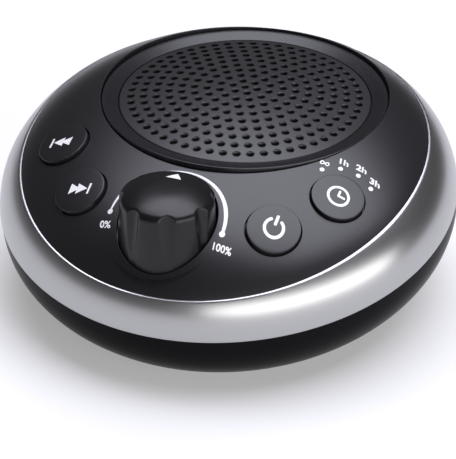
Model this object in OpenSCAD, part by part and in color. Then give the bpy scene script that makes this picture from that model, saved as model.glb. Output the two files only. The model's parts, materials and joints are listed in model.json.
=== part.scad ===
// White noise sound machine: a round, leaning pebble body with a black domed
// cover, a silver band, a black bowl base, a level speaker grille, a volume
// knob and four round buttons.
// Millimetres, +Z up, front towards -Y. The origin is on the floor, under the
// centre of the body's widest circle.

/* [Body] */
// Diameter of the widest circle of the body
body_d = 130; // [120:1:145]
// Height of the centre of the widest circle above the floor
waist_h = 25.3; // [23.5:0.1:27]
// Lean of the body axis towards the front, in degrees
lean = 9.3; // [6:0.1:12]
// Height of the dome above the widest circle, along the body axis
dome_h = 30.3; // [28:0.1:33]
// Fullness exponent of the dome
dome_n = 2.5; // [2.2:0.05:2.8]
// Depth that the bowl would have without its flat floor
bowl_h = 31.6; // [30:0.1:34]
// Wall of the cover and the bowl
wall_t = 2.4; // [2:0.1:3]
// How far the cover and the bowl sit back from the band
reveal = 0.3; // [0:0.05:0.5]

/* [Band] */
// Height of the band's flat lower edge above the widest circle
seam_z = 3.25; // [1:0.05:4.5]
// Highest point of the band's upper edge surface above the widest circle
band_top = 18.15; // [16.5:0.05:20]
// Radius of the band's saddle-shaped upper edge surface
band_arc_r = 480; // [400:10:800]
// How far behind the axis the band's upper edge is highest
band_crest_y = 2; // [-5:1:12]
// Thickness of the band
band_t = 1.8; // [1.4:0.1:2.2]
// Thickness of the skirt and the tongue behind the band
skirt_t = 1.8; // [1.4:0.1:2.4]
// Gap between the band, the skirt and the tongue
skirt_gap = 0.1; // [0.05:0.05:0.3]
// Height of the tongue above the seam
tongue_h = 3; // [2:0.5:4]

/* [Grille] */
// Distance of the grille's centre behind the origin
grille_y = 12.6; // [11:0.1:14]
// Outer radius of the bevelled ring
ring_r = 40.6; // [38:0.1:41.5]
// Radius of the perforated grille
grille_r = 35.7; // [34:0.1:36.5]
// Drop of the ring's bevel
bevel_drop = 1; // [0.5:0.1:2]
// Height of the ring above the cover at the front
ring_proud = 0.95; // [0.5:0.05:1.5]
// Rise of the domed grille
grille_rise = 4; // [2:0.1:5]
// Thickness of the grille
grille_t = 1.2; // [0.8:0.1:1.5]
// Diameter of one hole
hole_d = 2.1; // [1.6:0.1:2.4]
// Distance from one ring of holes to the next
hole_pitch = 3.6; // [3.4:0.1:3.8]
// Number of rings of holes round the middle hole
hole_rings = 9; // [6:1:9]
// Gap round the ring in its seat
ring_gap = 0.3; // [0.1:0.05:0.5]

/* [Knob] */
// Sideways place of the knob
knob_x = -0.4; // [-2:0.1:2]
// Distance of the knob in front of the origin
knob_y = 45; // [43.5:0.1:46]
// Diameter of the knob
knob_d = 26.4; // [24:0.1:27]
// Height of the knob's shoulder above the cover at its axis
knob_rise = 9.2; // [8:0.1:11]
// Depth of the knob's rim below the cover at its axis
knob_drop = 12.1; // [11:0.1:12.5]
// Radius of the knob's shoulder
knob_shoulder = 4; // [3:0.1:5]
// Rise of the knob's crowned top
knob_crown = 0.6; // [0.3:0.1:1]
// Number of flutes
flute_count = 8; // [6:1:10]
// Radius of the flute cutter
flute_r = 3.4; // [2.6:0.1:4]
// Depth of a flute
flute_depth = 1.3; // [0.8:0.1:1.6]
// Height of the lower end of a flute above the rim
flute_foot = 3.4; // [3:0.1:6]
// Gap between the knob and its well
knob_gap = 0.5; // [0.3:0.05:0.8]

/* [Buttons] */
// Diameter of a button
button_d = 14.7; // [13:0.1:15.5]
// Height of a button above the cover
button_proud = 0.9; // [0.5:0.1:1.4]
// Gap round a button
button_gap = 0.4; // [0.25:0.05:0.6]
// Travel of a button
button_travel = 0.6; // [0.3:0.1:0.8]
// Distance from the body axis to the rear pair of buttons
rear_button_r = 44.8; // [44:0.1:46]
// Angle of the rear pair from the front
rear_button_a = 64.2; // [62:0.1:67]
// Distance from the body axis to the front pair of buttons
front_button_r = 46; // [45:0.1:47]
// Angle of the front pair from the front
front_button_a = 37.6; // [35.5:0.1:40]
// Diameter of the timer lamps
lamp_d = 1.35; // [1:0.05:1.8]
// Distance of the timer lamps from the middle of the timer button
lamp_orbit = 10.4; // [10:0.1:11.5]
// Angle from one timer lamp to the next
lamp_step = 28.8; // [24:0.1:32]

/* [Speaker] */
// Radius of the speaker's mounting flange
flange_r = 31; // [28:0.5:31.5]
// Radius of the speaker's cone at its rim
cone_r = 22.5; // [20:0.5:23.5]
// Radius of the magnet
magnet_r = 16; // [13:0.5:18]
// Thickness of the magnet
magnet_t = 6.4; // [5:0.1:7]
// Travel of the cone each way
cone_travel = 1; // [0.5:0.1:1.5]

/* [Base] */
// Height of the rubber feet below the bowl
foot_h = 1.5; // [1:0.1:2]
// Diameter of a foot
foot_d = 10; // [8:0.5:12]
// Height of the power socket's axis above the floor
socket_h = 24; // [23:0.1:25.5]
// Diameter of the pocket round the power socket
pocket_d = 13; // [12:0.1:14]
// Diameter of the socket's mouth
socket_d = 5.6; // [5.5:0.05:6.5]

/* [Hidden] */
$fn = 96;
eps = 0.01;
slip = 0.05;

// Body -----------------------------------------------------------------
body_r = body_d/2;
dome_steps = 26;
bowl_steps = 16;

// Height of the dome over the widest circle at radius r, in the body frame
function dome_z(r) = dome_h*pow(1 - pow(r/body_r, dome_n), 1/dome_n);

// Slope of the dome at radius r, as an angle
function dome_tilt(r) =
  atan(dome_h/body_r*pow(r/body_r, dome_n - 1)*pow(1 - pow(r/body_r, dome_n), 1/dome_n - 1));

// Height of the cover above the floor at a place seen from above
function cover_z(x, y, z = dome_h, steps = 8) =
  let (along = (y + z*sin(lean))/cos(lean))
  steps == 0 ? waist_h + along*sin(lean) + z*cos(lean)
             : cover_z(x, y, dome_z(norm([x, along])), steps - 1);

// Half outline of the body, each curve drawn back by inset
function dome_outline(inset) = [
  for (i = [0:dome_steps])
    let (a = 90*i/dome_steps)
    [(body_r - inset)*pow(cos(a), 2/dome_n), (dome_h - inset)*pow(sin(a), 2/dome_n)]
];
function bowl_outline(inset) = [
  for (i = [0:bowl_steps - 1])
    let (a = 90*i/bowl_steps)
    [(body_r - inset)*sin(a), -(bowl_h - inset)*cos(a)]
];

module body_frame() translate([0, 0, waist_h]) rotate([lean, 0, 0]) children();

// A place on the dome, r from the body axis and a degrees from the front
module on_dome(r, a)
  body_frame() rotate([0, 0, a]) translate([0, -r, dome_z(r)]) rotate([dome_tilt(r), 0, 0]) children();

module body_solid(inset)
  rotate_extrude() polygon(concat([[0, -(bowl_h - inset)]], [for (p = bowl_outline(inset)) if (p[0] > 0) p],
    dome_outline(inset)));

// Everything under the band's upper edge surface, lifted by a height
module under_band_top(lift = 0)
  translate([0, band_crest_y, band_top - band_arc_r + lift]) rotate([0, 90, 0])
    cylinder(r = band_arc_r, h = 4*body_r, center = true, $fn = 180);

module above_seam(lift = 0) translate([-2*body_r, -2*body_r, seam_z + lift]) cube([4*body_r, 4*body_r, 2*body_r]);
module below_seam() translate([-2*body_r, -2*body_r, seam_z - 4*body_r]) cube([4*body_r, 4*body_r, 4*body_r]);

// Everything above a level height
module level_above(z) translate([-2*body_r, -2*body_r, z]) cube([4*body_r, 4*body_r, 4*body_r]);

skirt_outside = band_t + skirt_gap;
skirt_inside = skirt_outside + skirt_t;
tongue_inside = skirt_inside + skirt_gap + skirt_t;
ledge_h = 2.5;

module trim_band() color([0.72, 0.73, 0.75]) body_frame()
  difference() {
    intersection() { body_solid(0); under_band_top(); above_seam(); }
    body_solid(band_t);
  }

// Space that the cover may fill: its dome, and its skirt behind the band
module cover_envelope() body_frame() {
  difference() { body_solid(reveal); under_band_top(slip); }
  intersection() { body_solid(skirt_outside); above_seam(); }
}

module cover_hollow() body_frame() {
  intersection() { body_solid(skirt_inside); above_seam(-1); }
  difference() { body_solid(reveal + wall_t); under_band_top(ledge_h); }
}

// Grille -----------------------------------------------------------------
least_ring_w = 2.3;
ring_out_r = max(ring_r, grille_r + least_ring_w);
ring_z = cover_z(0, grille_y - ring_out_r) + ring_proud;
grille_z = ring_z - bevel_drop;
grille_sphere_r = (grille_r*grille_r + grille_rise*grille_rise)/(2*grille_rise);
ring_seat_t = 2;
ring_seat_z = ring_z - ring_seat_t;
spigot_r = grille_r + 0.7;
spigot_h = 1.7;
grille_ledge = 2;
edge_gap = 0.2;
collar_t = 2.1;
collar_r = ring_out_r + ring_gap + collar_t;
baffle_t = 2;
baffle_z = ring_z - 7.8;
screen_t = 0.4;
throat_r = flange_r - 3.5;

module on_grille(z) translate([0, grille_y, z]) children();

module grille_bezel() color([0.1, 0.1, 0.11]) on_grille(0)
  rotate_extrude() polygon([
    [ring_out_r, ring_seat_z], [ring_out_r, ring_z - 0.4], [ring_out_r - 0.12, ring_z - 0.12], [ring_out_r - 0.4, ring_z],
    [grille_r + edge_gap, grille_z], [grille_r + edge_gap, grille_z - grille_t],
    [grille_r - grille_ledge, grille_z - grille_t], [grille_r - grille_ledge, ring_seat_z - spigot_h],
    [spigot_r, ring_seat_z - spigot_h], [spigot_r, ring_seat_z]
  ]);

// Spherical shell that the grille and the screen behind it are cut from
module grille_shell(top, thickness, radius)
  intersection() {
    translate([0, 0, grille_rise - grille_sphere_r]) difference() {
      sphere(r = grille_sphere_r - top);
      sphere(r = grille_sphere_r - top - thickness);
    }
    translate([0, 0, -grille_rise]) cylinder(r = radius, h = 3*grille_rise);
  }

module hole_pattern() {
  circle(d = hole_d, $fn = 24);
  for (ring = [1:hole_rings], i = [0:6*ring - 1])
    rotate(i*60/ring) translate([hole_pitch*ring, 0]) circle(d = hole_d, $fn = 24);
}

module speaker_grille() color([0.13, 0.13, 0.14]) on_grille(grille_z)
  difference() {
    union() {
      grille_shell(0, grille_t, grille_r);
      difference() {
        translate([0, 0, -grille_t]) cylinder(r = grille_r, h = grille_t);
        translate([0, 0, grille_rise - grille_sphere_r]) sphere(r = grille_sphere_r - grille_t/2);
        translate([0, 0, -grille_t - eps]) cylinder(r = grille_r - grille_ledge, h = 2*grille_t);
      }
    }
    translate([0, 0, -2*grille_rise]) linear_extrude(4*grille_rise) hole_pattern();
    translate([0, 0, -4*grille_t]) cylinder(r = grille_r + 1, h = 3*grille_t);
  }

module dust_screen() color([0.05, 0.05, 0.055]) on_grille(grille_z)
  intersection() {
    grille_shell(grille_t + slip, screen_t, grille_r - grille_ledge - edge_gap);
    translate([0, 0, -grille_t - 1]) cylinder(r = grille_r, h = 3*grille_rise);
  }

// Knob -------------------------------------------------------------------
knob_r = knob_d/2;
knob_skin_z = cover_z(knob_x, -knob_y);
knob_foot_z = knob_skin_z - knob_drop;
knob_head_z = knob_skin_z + knob_rise;
well_r = knob_r + knob_gap;
well_t = 1.6;
well_floor_z = knob_foot_z - 0.6;
knob_wall = 3.2;
knob_roof = 4;
hub_r = 5.2;
hub_foot = 3.8;
shaft_r = 3;
shaft_reach = 13;
bushing_r = 3.5;
nut_t = 1.8;
nut_af = 10;

module on_knob(z) translate([knob_x, -knob_y, z]) children();

module knob_outline() {
  crown_y = [for (i = [0:8]) i/8];
  neck_r = knob_r - knob_shoulder;
  polygon(concat(
    [[0, 0], [knob_r - 0.4, 0], [knob_r, 0.4]],
    [for (a = [0:9:90]) [neck_r + knob_shoulder*cos(a), knob_head_z - knob_foot_z - knob_shoulder*(1 - sin(a))]],
    [for (k = crown_y) [neck_r*(1 - k), knob_head_z - knob_foot_z + knob_crown*(1 - pow(1 - k, 2))]]
  ));
}

module flute(a) rotate([0, 0, a]) translate([0, -(knob_r + flute_r - flute_depth), 0]) {
  translate([0, 0, flute_foot + flute_r - 0.7]) sphere(r = flute_r, $fn = 48);
  translate([0, 0, flute_foot + flute_r - 0.7]) cylinder(r = flute_r, h = knob_head_z, $fn = 48);
}

module volume_knob() color([0.02, 0.02, 0.022]) on_knob(knob_foot_z)
  difference() {
    rotate_extrude() knob_outline();
    for (i = [0:flute_count - 1]) flute((i + 0.5)*360/flute_count);
    difference() {
      translate([0, 0, -eps]) cylinder(r = knob_r - knob_wall, h = knob_head_z - knob_foot_z - knob_roof);
      translate([0, 0, hub_foot]) cylinder(r = hub_r, h = knob_head_z);
    }
    translate([0, 0, hub_foot - eps]) linear_extrude(shaft_reach - hub_foot + slip) shaft_section(shaft_r + 0.03);
  }

module shaft_section(r) difference() {
  circle(r = r, $fn = 48);
  translate([-r, r - 1.5]) square([2*r, 2]);
}

pot_r = 8.2;
pot_t = 6.5;
pot_top_z = well_floor_z - well_t;
pot_depth = 4;
bushing_h = well_t + nut_t + 1.4;
control_board_t = 1.6;
control_board_size = [30, 19];
control_board_room = 0.6;
pin_h = 1.5;

module pot_shaft() color([0.7, 0.71, 0.73]) on_knob(0) {
  translate([0, 0, pot_top_z - pot_depth]) cylinder(r = shaft_r, h = knob_foot_z + hub_foot - pot_top_z + pot_depth, $fn = 48);
  translate([0, 0, knob_foot_z + hub_foot - eps]) linear_extrude(shaft_reach - hub_foot) shaft_section(shaft_r);
}

module pot_body() color([0.35, 0.36, 0.38]) on_knob(pot_top_z)
  difference() {
    union() {
      translate([0, 0, -pot_t]) cylinder(r = pot_r, h = pot_t);
      cylinder(r = bushing_r, h = bushing_h, $fn = 48);
      for (x = [-5, 0, 5]) translate([x - 0.5, -sqrt(pot_r*pot_r - x*x) - 0.8, -pot_t - pin_h]) cube([1, 2.4, pot_t]);
    }
    translate([0, 0, -pot_depth - 0.5]) cylinder(r = shaft_r + slip, h = 30, $fn = 48);
  }

module pot_nut() color([0.75, 0.75, 0.76]) on_knob(well_floor_z)
  difference() {
    cylinder(d = nut_af/cos(30), h = nut_t, $fn = 6);
    translate([0, 0, -1]) cylinder(r = bushing_r + slip, h = 4, $fn = 48);
  }

module rounded_plate(size, thickness, r = 1.5) linear_extrude(thickness) difference() {
  square(size, center = true);
  for (x = [-1, 1], y = [-1, 1]) translate([x*size[0]/2, y*size[1]/2]) difference() {
    square(2*r, center = true);
    translate([-x*r, -y*r]) circle(r = r, $fn = 32);
  }
}

module control_board() color([0.05, 0.3, 0.14]) intersection() {
  on_knob(pot_top_z - pot_t - pin_h - control_board_t) rounded_plate(control_board_size, control_board_t);
  body_frame() body_solid(tongue_inside + control_board_room);
}

// Buttons ------------------------------------------------------------------
button_r = button_d/2;
pair_r = (rear_button_r + front_button_r)/2;
pair_a = (rear_button_a + front_button_a)/2;
guide_t = 1.45;
guide_z = -4.6;
rim_gap = 0.2;
rim_t = 1;
rim_r = button_r + button_gap + 0.7;
rim_room = 0.3;
stem_r = 1.8;
stem_h = 1.6;
touch_gap = 0.1;
plunger_r = 1.75;
plunger_h = 1.9;
plunger_in = 0.8;
switch_w = 6.2;
switch_t = 3.5;
button_board_t = 1.2;
button_chamfer = 0.6;
rim_z = guide_z - rim_gap - rim_t;
plunger_top_z = rim_z - stem_h - touch_gap;
switch_top_z = plunger_top_z - plunger_h + plunger_in;
board_top_z = switch_top_z - switch_t;

// Place of a dome point in the frame of a pair of buttons
function pair_xy(r, a) =
  let (along = pair_r - r*cos(a - pair_a), up = dome_z(r) - dome_z(pair_r), tilt = dome_tilt(pair_r))
  [r*sin(a - pair_a), along*cos(tilt) + up*sin(tilt)];
rear_xy = pair_xy(rear_button_r, rear_button_a);
front_xy = pair_xy(front_button_r, front_button_a);

// side is 1 for the right pair and -1 for the left pair
module pair_frame(side) mirror([side < 0 ? 1 : 0, 0, 0]) on_dome(pair_r, pair_a) children();
module at_xy(p, z = 0) translate([p[0], p[1], z]) children();

module button_cap(side, p, r, a) color([0.09, 0.09, 0.1]) {
  intersection() {
    pair_frame(side) at_xy(p, rim_z) cylinder(r = button_r, h = 12);
    body_frame() body_solid(-button_proud);
    mirror([side < 0 ? 1 : 0, 0, 0]) on_dome(r, a) union() {
      translate([0, 0, button_proud - button_chamfer])
        cylinder(r1 = button_r + button_chamfer/3, r2 = button_r - button_chamfer*0.9, h = button_chamfer*1.3);
      translate([0, 0, -20]) cylinder(r = button_r + 3, h = 20 + button_proud - button_chamfer + eps);
    }
  }
  pair_frame(side) at_xy(p) {
    translate([0, 0, rim_z]) cylinder(r = rim_r, h = rim_t);
    translate([0, 0, rim_z - stem_h]) cylinder(r = stem_r, h = stem_h + 0.5, $fn = 32);
  }
}

module previous_button() button_cap(-1, rear_xy, rear_button_r, rear_button_a);
module next_button() button_cap(-1, front_xy, front_button_r, front_button_a);
module timer_button() button_cap(1, rear_xy, rear_button_r, rear_button_a);
module power_button() button_cap(1, front_xy, front_button_r, front_button_a);

module plunger(side, p) color([0.85, 0.8, 0.6]) pair_frame(side)
  at_xy(p, plunger_top_z - plunger_h) cylinder(r = plunger_r, h = plunger_h, $fn = 32);

module previous_plunger() plunger(-1, rear_xy);
module next_plunger() plunger(-1, front_xy);
module timer_plunger() plunger(1, rear_xy);
module power_plunger() plunger(1, front_xy);

module tact_switches() color([0.12, 0.12, 0.13])
  for (side = [-1, 1], p = [rear_xy, front_xy]) pair_frame(side) at_xy(p, board_top_z) difference() {
    translate([-switch_w/2, -switch_w/2, 0]) cube([switch_w, switch_w, switch_t]);
    translate([0, 0, switch_t - plunger_in - button_travel - 0.2]) cylinder(r = plunger_r + 0.1, h = 5, $fn = 32);
  }

// Angles of the lamps round the timer button, in the pair frame
lamp_mid_a = 39.6;
lamp_xy = [for (i = [-1.5:1:1.5])
  rear_xy + lamp_orbit*[cos(lamp_mid_a - i*lamp_step), sin(lamp_mid_a - i*lamp_step)]];
led_t = 1;
pipe_foot_z = board_top_z + led_t + 0.3;
board_margin = 5;
lamp_margin = 2;
post_r = 2.2;
post_y = [-6.2, 7.4];
pilot_r = 0.9;

// Plate of a button board between two opposite corners, in the pair frame
module board_plate(a, b)
  translate([(a[0] + b[0])/2, (a[1] + b[1])/2, board_top_z - button_board_t]) rounded_plate(b - a, button_board_t, 2.5);

module button_board(side) color([0.05, 0.3, 0.14]) pair_frame(side) difference() {
  union() {
    board_plate([front_xy[0] - board_margin, post_y[0] - 3], [rear_xy[0] + board_margin, post_y[1] + 3]);
    children();
  }
  for (y = post_y) at_xy([0, y], board_top_z - 3) cylinder(r = pilot_r + 0.3, h = 4, $fn = 32);
}

module left_button_board() button_board(-1);
module right_button_board() button_board(1)
  board_plate([board_margin, post_y[0] - 3], [lamp_xy[3][0] + lamp_margin, lamp_xy[0][1] + lamp_margin]);

module small_screw(length, head = screw_head_r) {
  cylinder(r = pilot_r - slip, h = length, $fn = 32);
  translate([0, 0, -1.2]) cylinder(r = head, h = 1.2, $fn = 32);
}

module button_board_screws() color([0.6, 0.6, 0.62])
  for (side = [-1, 1], y = post_y) pair_frame(side) at_xy([0, y], board_top_z - button_board_t) small_screw(5);

module timer_leds() color([0.95, 0.95, 0.85])
  for (p = lamp_xy) pair_frame(1) at_xy(p, board_top_z) translate([-0.8, -0.8, 0]) cube([1.6, 1.6, led_t]);

module lamp_pipes() color([0.95, 0.95, 0.95]) intersection() {
  pair_frame(1) union() {
    for (p = lamp_xy) at_xy(p, pipe_foot_z) cylinder(d = lamp_d, h = 20, $fn = 32);
    for (i = [0:2]) let (a = lamp_xy[i], b = lamp_xy[i + 1], d = b - a)
      at_xy(a, pipe_foot_z) rotate([0, 0, atan2(d[1], d[0])]) translate([0, -0.5, 0]) cube([norm(d), 1, 1]);
  }
  body_frame() body_solid(reveal - 0.12);
}

// Cover ------------------------------------------------------------------
cover_post_r = 3;
front_post = [14, 18];
rear_post_a = 24;
rear_post_inset = 6.5;
post_split_z = 22;
screw_r = 1.25;
screw_l = 9;
tower_r = 4.3;
head_r = 2.8;
head_t = 1.8;
tower_roof = 2;

// Ellipse where the bowl meets its flat floor
floor_drop = waist_h - foot_h;
fa = pow(cos(lean)/body_r, 2) + pow(sin(lean)/bowl_h, 2);
fb = -2*floor_drop*cos(lean)*sin(lean)*(1/pow(body_r, 2) - 1/pow(bowl_h, 2));
fc = pow(floor_drop, 2)*(pow(sin(lean)/body_r, 2) + pow(cos(lean)/bowl_h, 2)) - 1;
floor_y = -fb/(2*fa);
floor_ry = sqrt(fb*fb - 4*fa*fc)/(2*fa);
floor_rx = body_r*sqrt(fb*fb/(4*fa) - fc);

post_xy = [
  for (side = [-1, 1])
    each [
      [side*front_post[0], -knob_y + front_post[1]],
      [side*(floor_rx - rear_post_inset)*cos(rear_post_a), floor_y + (floor_ry - rear_post_inset)*sin(rear_post_a)]
    ]
];

module cover_ribs() {
  on_grille(baffle_z) cylinder(r = collar_r, h = 40);
  on_knob(pot_top_z) cylinder(r = well_r + well_t, h = 40);
  for (p = post_xy) at_xy(p, post_split_z) cylinder(r = cover_post_r, h = 40, $fn = 48);
  for (side = [-1, 1]) {
    for (p = [rear_xy, front_xy]) pair_frame(side) at_xy(p, guide_z)
      cylinder(r = button_r + button_gap + guide_t, h = 12);
    for (y = post_y) pair_frame(side) at_xy([0, y], board_top_z) cylinder(r = post_r, h = 20, $fn = 32);
  }
}

module cover_cuts() {
  on_grille(ring_seat_z) cylinder(r = ring_out_r + ring_gap, h = 40);
  on_grille(baffle_z + baffle_t) cylinder(r = spigot_r + 0.1, h = 40);
  on_grille(baffle_z - 1) cylinder(r = throat_r, h = 40);
  on_knob(well_floor_z) cylinder(r = well_r, h = 40);
  on_knob(pot_top_z - 1) cylinder(r = bushing_r + slip, h = 10, $fn = 48);
  for (p = post_xy) at_xy(p, post_split_z - 1) cylinder(r = screw_r + slip, h = screw_l + 2, $fn = 32);
  for (side = [-1, 1]) {
    for (p = [rear_xy, front_xy]) pair_frame(side) at_xy(p, guide_z - 1)
      cylinder(r = button_r + button_gap, h = 20);
    for (p = [rear_xy, front_xy]) pair_frame(side) at_xy(p, rim_z - button_travel - rim_room)
      cylinder(r = rim_r + rim_room, h = rim_t + rim_gap + button_travel + rim_room);
    for (y = post_y) pair_frame(side) at_xy([0, y], board_top_z - 1) cylinder(r = pilot_r, h = 6, $fn = 32);
  }
  for (p = lamp_xy) pair_frame(1) at_xy(p, pipe_foot_z) cylinder(d = lamp_d + 2*slip, h = 20, $fn = 32);
  for (i = [0:3]) on_grille(baffle_z - 1) rotate([0, 0, 45 + 90*i]) translate([speaker_screw_r, 0, 0])
    cylinder(r = pilot_r, h = baffle_t, $fn = 32);
}

module top_cover() color([0.06, 0.06, 0.065]) difference() {
  intersection() {
    union() {
      difference() { cover_envelope(); cover_hollow(); }
      cover_ribs();
    }
    cover_envelope();
  }
  cover_cuts();
}

// Base ---------------------------------------------------------------------
foot_a = 50;
foot_inset = foot_d/2 + 3.5;
foot_xy = [
  for (side = [-1, 1], end = [-1, 1])
    [side*(floor_rx - foot_inset)*cos(foot_a), floor_y + end*(floor_ry - foot_inset)*sin(foot_a)]
];
foot_seat = 0.6;
pocket_t = 2;
pocket_l = 8.5;
pocket_floor_y = body_r - pocket_l;
board_z = 8;
main_board_size = [52, 42];
main_board_y = 8;
main_board_t = 1.6;
board_post_r = 2.6;
board_post_inset = 4;
board_post_xy = [for (x = [-1, 1], y = [-1, 1])
  [x*(main_board_size[0]/2 - board_post_inset), main_board_y + y*(main_board_size[1]/2 - board_post_inset)]];
screw_head_r = 1.9;
plug_size = [8, 5, 5];
plug_gap = 1;
plug_x = main_board_size[0]/2 - board_post_inset - screw_head_r - plug_gap - plug_size[0]/2;
plug_y = main_board_y - 12;

module along_back(y) translate([0, y, socket_h]) rotate([-90, 0, 0]) children();

module base_space(inset) intersection() {
  body_frame() intersection() { body_solid(inset); below_seam(); }
  level_above(foot_h);
}

module base_shell() color([0.035, 0.035, 0.038]) difference() {
  union() {
    difference() {
      base_space(reveal);
      intersection() { body_frame() body_solid(reveal + wall_t); level_above(foot_h + wall_t); }
    }
    // step and tongue behind the seam
    body_frame() difference() {
      union() {
        intersection() { body_solid(reveal + 1); translate([0, 0, seam_z - 4]) cylinder(r = body_r, h = 4); }
        intersection() { body_solid(skirt_inside + skirt_gap); translate([0, 0, seam_z - 1]) cylinder(r = body_r, h = 1 + tongue_h); }
      }
      body_solid(tongue_inside);
    }
    intersection() {
      union() {
        for (p = post_xy) at_xy(p, foot_h) cylinder(r = tower_r, h = post_split_z - foot_h);
        for (p = board_post_xy) at_xy(p, foot_h) cylinder(r = board_post_r, h = board_z - foot_h, $fn = 48);
        along_back(pocket_floor_y - pocket_t) cylinder(d = pocket_d + 2*pocket_t, h = 20);
      }
      base_space(reveal + 1);
    }
  }
  for (p = post_xy) at_xy(p) {
    translate([0, 0, -1]) cylinder(r = head_r + 0.3, h = post_split_z - tower_roof + 1, $fn = 48);
    cylinder(r = screw_r + 0.3, h = 40, $fn = 32);
  }
  for (p = board_post_xy) at_xy(p, foot_h + wall_t) cylinder(r = pilot_r, h = 20, $fn = 32);
  for (p = foot_xy) at_xy(p, 0) cylinder(d = foot_d + 0.2, h = foot_h + foot_seat);
  along_back(pocket_floor_y) cylinder(d = pocket_d, h = 20);
  along_back(pocket_floor_y - 10) cylinder(r = socket_nose_r + slip, h = 20);
  along_back(pocket_floor_y - pocket_t - socket_body_l) cylinder(r = socket_body_r + 0.1, h = socket_body_l);
}

module rubber_feet() color([0.02, 0.02, 0.02])
  for (p = foot_xy) at_xy(p) {
    cylinder(d1 = foot_d - 1, d2 = foot_d, h = 0.5);
    translate([0, 0, 0.5]) cylinder(d = foot_d, h = foot_h + foot_seat - 0.5);
  }

module base_screws() color([0.6, 0.6, 0.62])
  for (p = post_xy) at_xy(p, post_split_z - tower_roof) {
    difference() {
      translate([0, 0, -head_t]) cylinder(r = head_r, h = head_t, $fn = 48);
      translate([0, 0, -head_t - eps]) cylinder(r = 1.3, h = 1, $fn = 6);
    }
    cylinder(r = screw_r, h = screw_l, $fn = 32);
  }

// Power socket ---------------------------------------------------------------
socket_nose_r = 4.2;
socket_body_r = 5.6;
socket_body_l = 12;
socket_depth = 9.5;
socket_pin_r = 1;
socket_tag_l = 2;
lead_step = 2.4;

module power_socket() color([0.1, 0.1, 0.11]) along_back(pocket_floor_y) {
  difference() {
    union() {
      translate([0, 0, -pocket_t]) cylinder(r = socket_nose_r, h = pocket_t + 0.4);
      translate([0, 0, -pocket_t - socket_body_l]) cylinder(r = socket_body_r, h = socket_body_l);
    }
    translate([0, 0, 0.4 - socket_depth]) cylinder(d = socket_d, h = socket_depth + 1, $fn = 48);
  }
  translate([0, 0, -socket_depth]) cylinder(r = socket_pin_r, h = socket_depth - 0.6, $fn = 32);
  for (x = [-1, 1]) translate([x*lead_step/2 - 0.5, -0.4, -pocket_t - socket_body_l - socket_tag_l])
    cube([1, 0.8, socket_tag_l + 1]);
}

// Main board ---------------------------------------------------------------
main_board_top = board_z + main_board_t;

module main_board() color([0.05, 0.3, 0.14]) translate([0, main_board_y, board_z]) difference() {
  rounded_plate(main_board_size, main_board_t, 3);
  for (p = board_post_xy) translate([p[0], p[1] - main_board_y, -1]) cylinder(r = pilot_r + 0.3, h = 4, $fn = 32);
}

module amplifier_parts() translate([0, main_board_y, main_board_top]) {
  color([0.08, 0.08, 0.09]) translate([-10, -6, 0]) cube([9, 9, 1.5]);
  color([0.08, 0.08, 0.09]) translate([3, -5, 0]) cube([6, 8, 1.6]);
  for (x = [-11, 14]) color([0.12, 0.12, 0.2]) translate([x, 8, 0]) cylinder(r = 3.1, h = 7, $fn = 48);
  color([0.2, 0.2, 0.2]) translate([-2, 11, 0]) cylinder(r = 3.4, h = 3.2, $fn = 48);
  for (side = [-1, 1]) color([0.9, 0.88, 0.8])
    translate([side*plug_x - plug_size[0]/2, plug_y - main_board_y - plug_size[1], 0]) cube(plug_size);
}

module main_board_screws() color([0.6, 0.6, 0.62])
  for (p = board_post_xy) at_xy(p, main_board_top) mirror([0, 0, 1]) small_screw(5);

// Speaker --------------------------------------------------------------------
gasket_t = 0.6;
flange_t = 1.6;
speaker_z = baffle_z - gasket_t;
speaker_screw_r = flange_r - 1.5;
speaker_head_r = 1.4;
coil_gap_r = 6.5;
plate_t = 1.8;
basket_depth = 13;
basket_foot_z = speaker_z - basket_depth;
pole_r = 6;
former_t = 0.4;
cone_t = 0.5;
cone_rim_z = speaker_z - 1.4;
cone_neck_z = speaker_z - 7.4;
roll_r = (throat_r - 0.9 - cone_r)/2;
spider_z = basket_foot_z + 2.2;
spider_r = 13;
tag_w = 6;
tag_l = 5;

module speaker_gasket() color([0.08, 0.08, 0.08]) on_grille(speaker_z) difference() {
  cylinder(r = flange_r, h = gasket_t);
  translate([0, 0, -1]) cylinder(r = throat_r + 0.6, h = 3);
  speaker_screw_holes(pilot_r + 0.2);
}

module speaker_screw_holes(r)
  for (i = [0:3]) rotate([0, 0, 45 + 90*i]) translate([speaker_screw_r, 0, -10]) cylinder(r = r, h = 20, $fn = 32);

module speaker_basket() color([0.16, 0.16, 0.17]) on_grille(0) {
  translate([spider_r + 1.5, -tag_w/2, basket_foot_z + 1.2]) cube([tag_l, tag_w, 1]);
  difference() {
    rotate_extrude() polygon([
      [flange_r, speaker_z], [flange_r, speaker_z - flange_t], [throat_r + 0.5, speaker_z - flange_t],
      [spider_r + 2.2, basket_foot_z + 1.2], [spider_r + 2.2, basket_foot_z], [8, basket_foot_z],
      [8, basket_foot_z + 1.2], [spider_r + 1, basket_foot_z + 1.2], [throat_r - 0.9, speaker_z - flange_t],
      [throat_r - 0.9, speaker_z]
    ]);
    for (i = [0:3]) rotate([0, 0, 90*i]) translate([0, 0, basket_foot_z + 4]) rotate([0, 0, -24])
      rotate_extrude(angle = 48) translate([spider_r, 0]) square([flange_r, basket_depth - flange_t - 6.5]);
    translate([0, 0, speaker_z]) speaker_screw_holes(pilot_r + 0.2);
  }
}

module speaker_top_plate() color([0.62, 0.63, 0.65]) on_grille(basket_foot_z - plate_t) difference() {
  cylinder(r = magnet_r - 1, h = plate_t);
  translate([0, 0, -1]) cylinder(r = coil_gap_r + 0.5, h = 4, $fn = 64);
}

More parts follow.
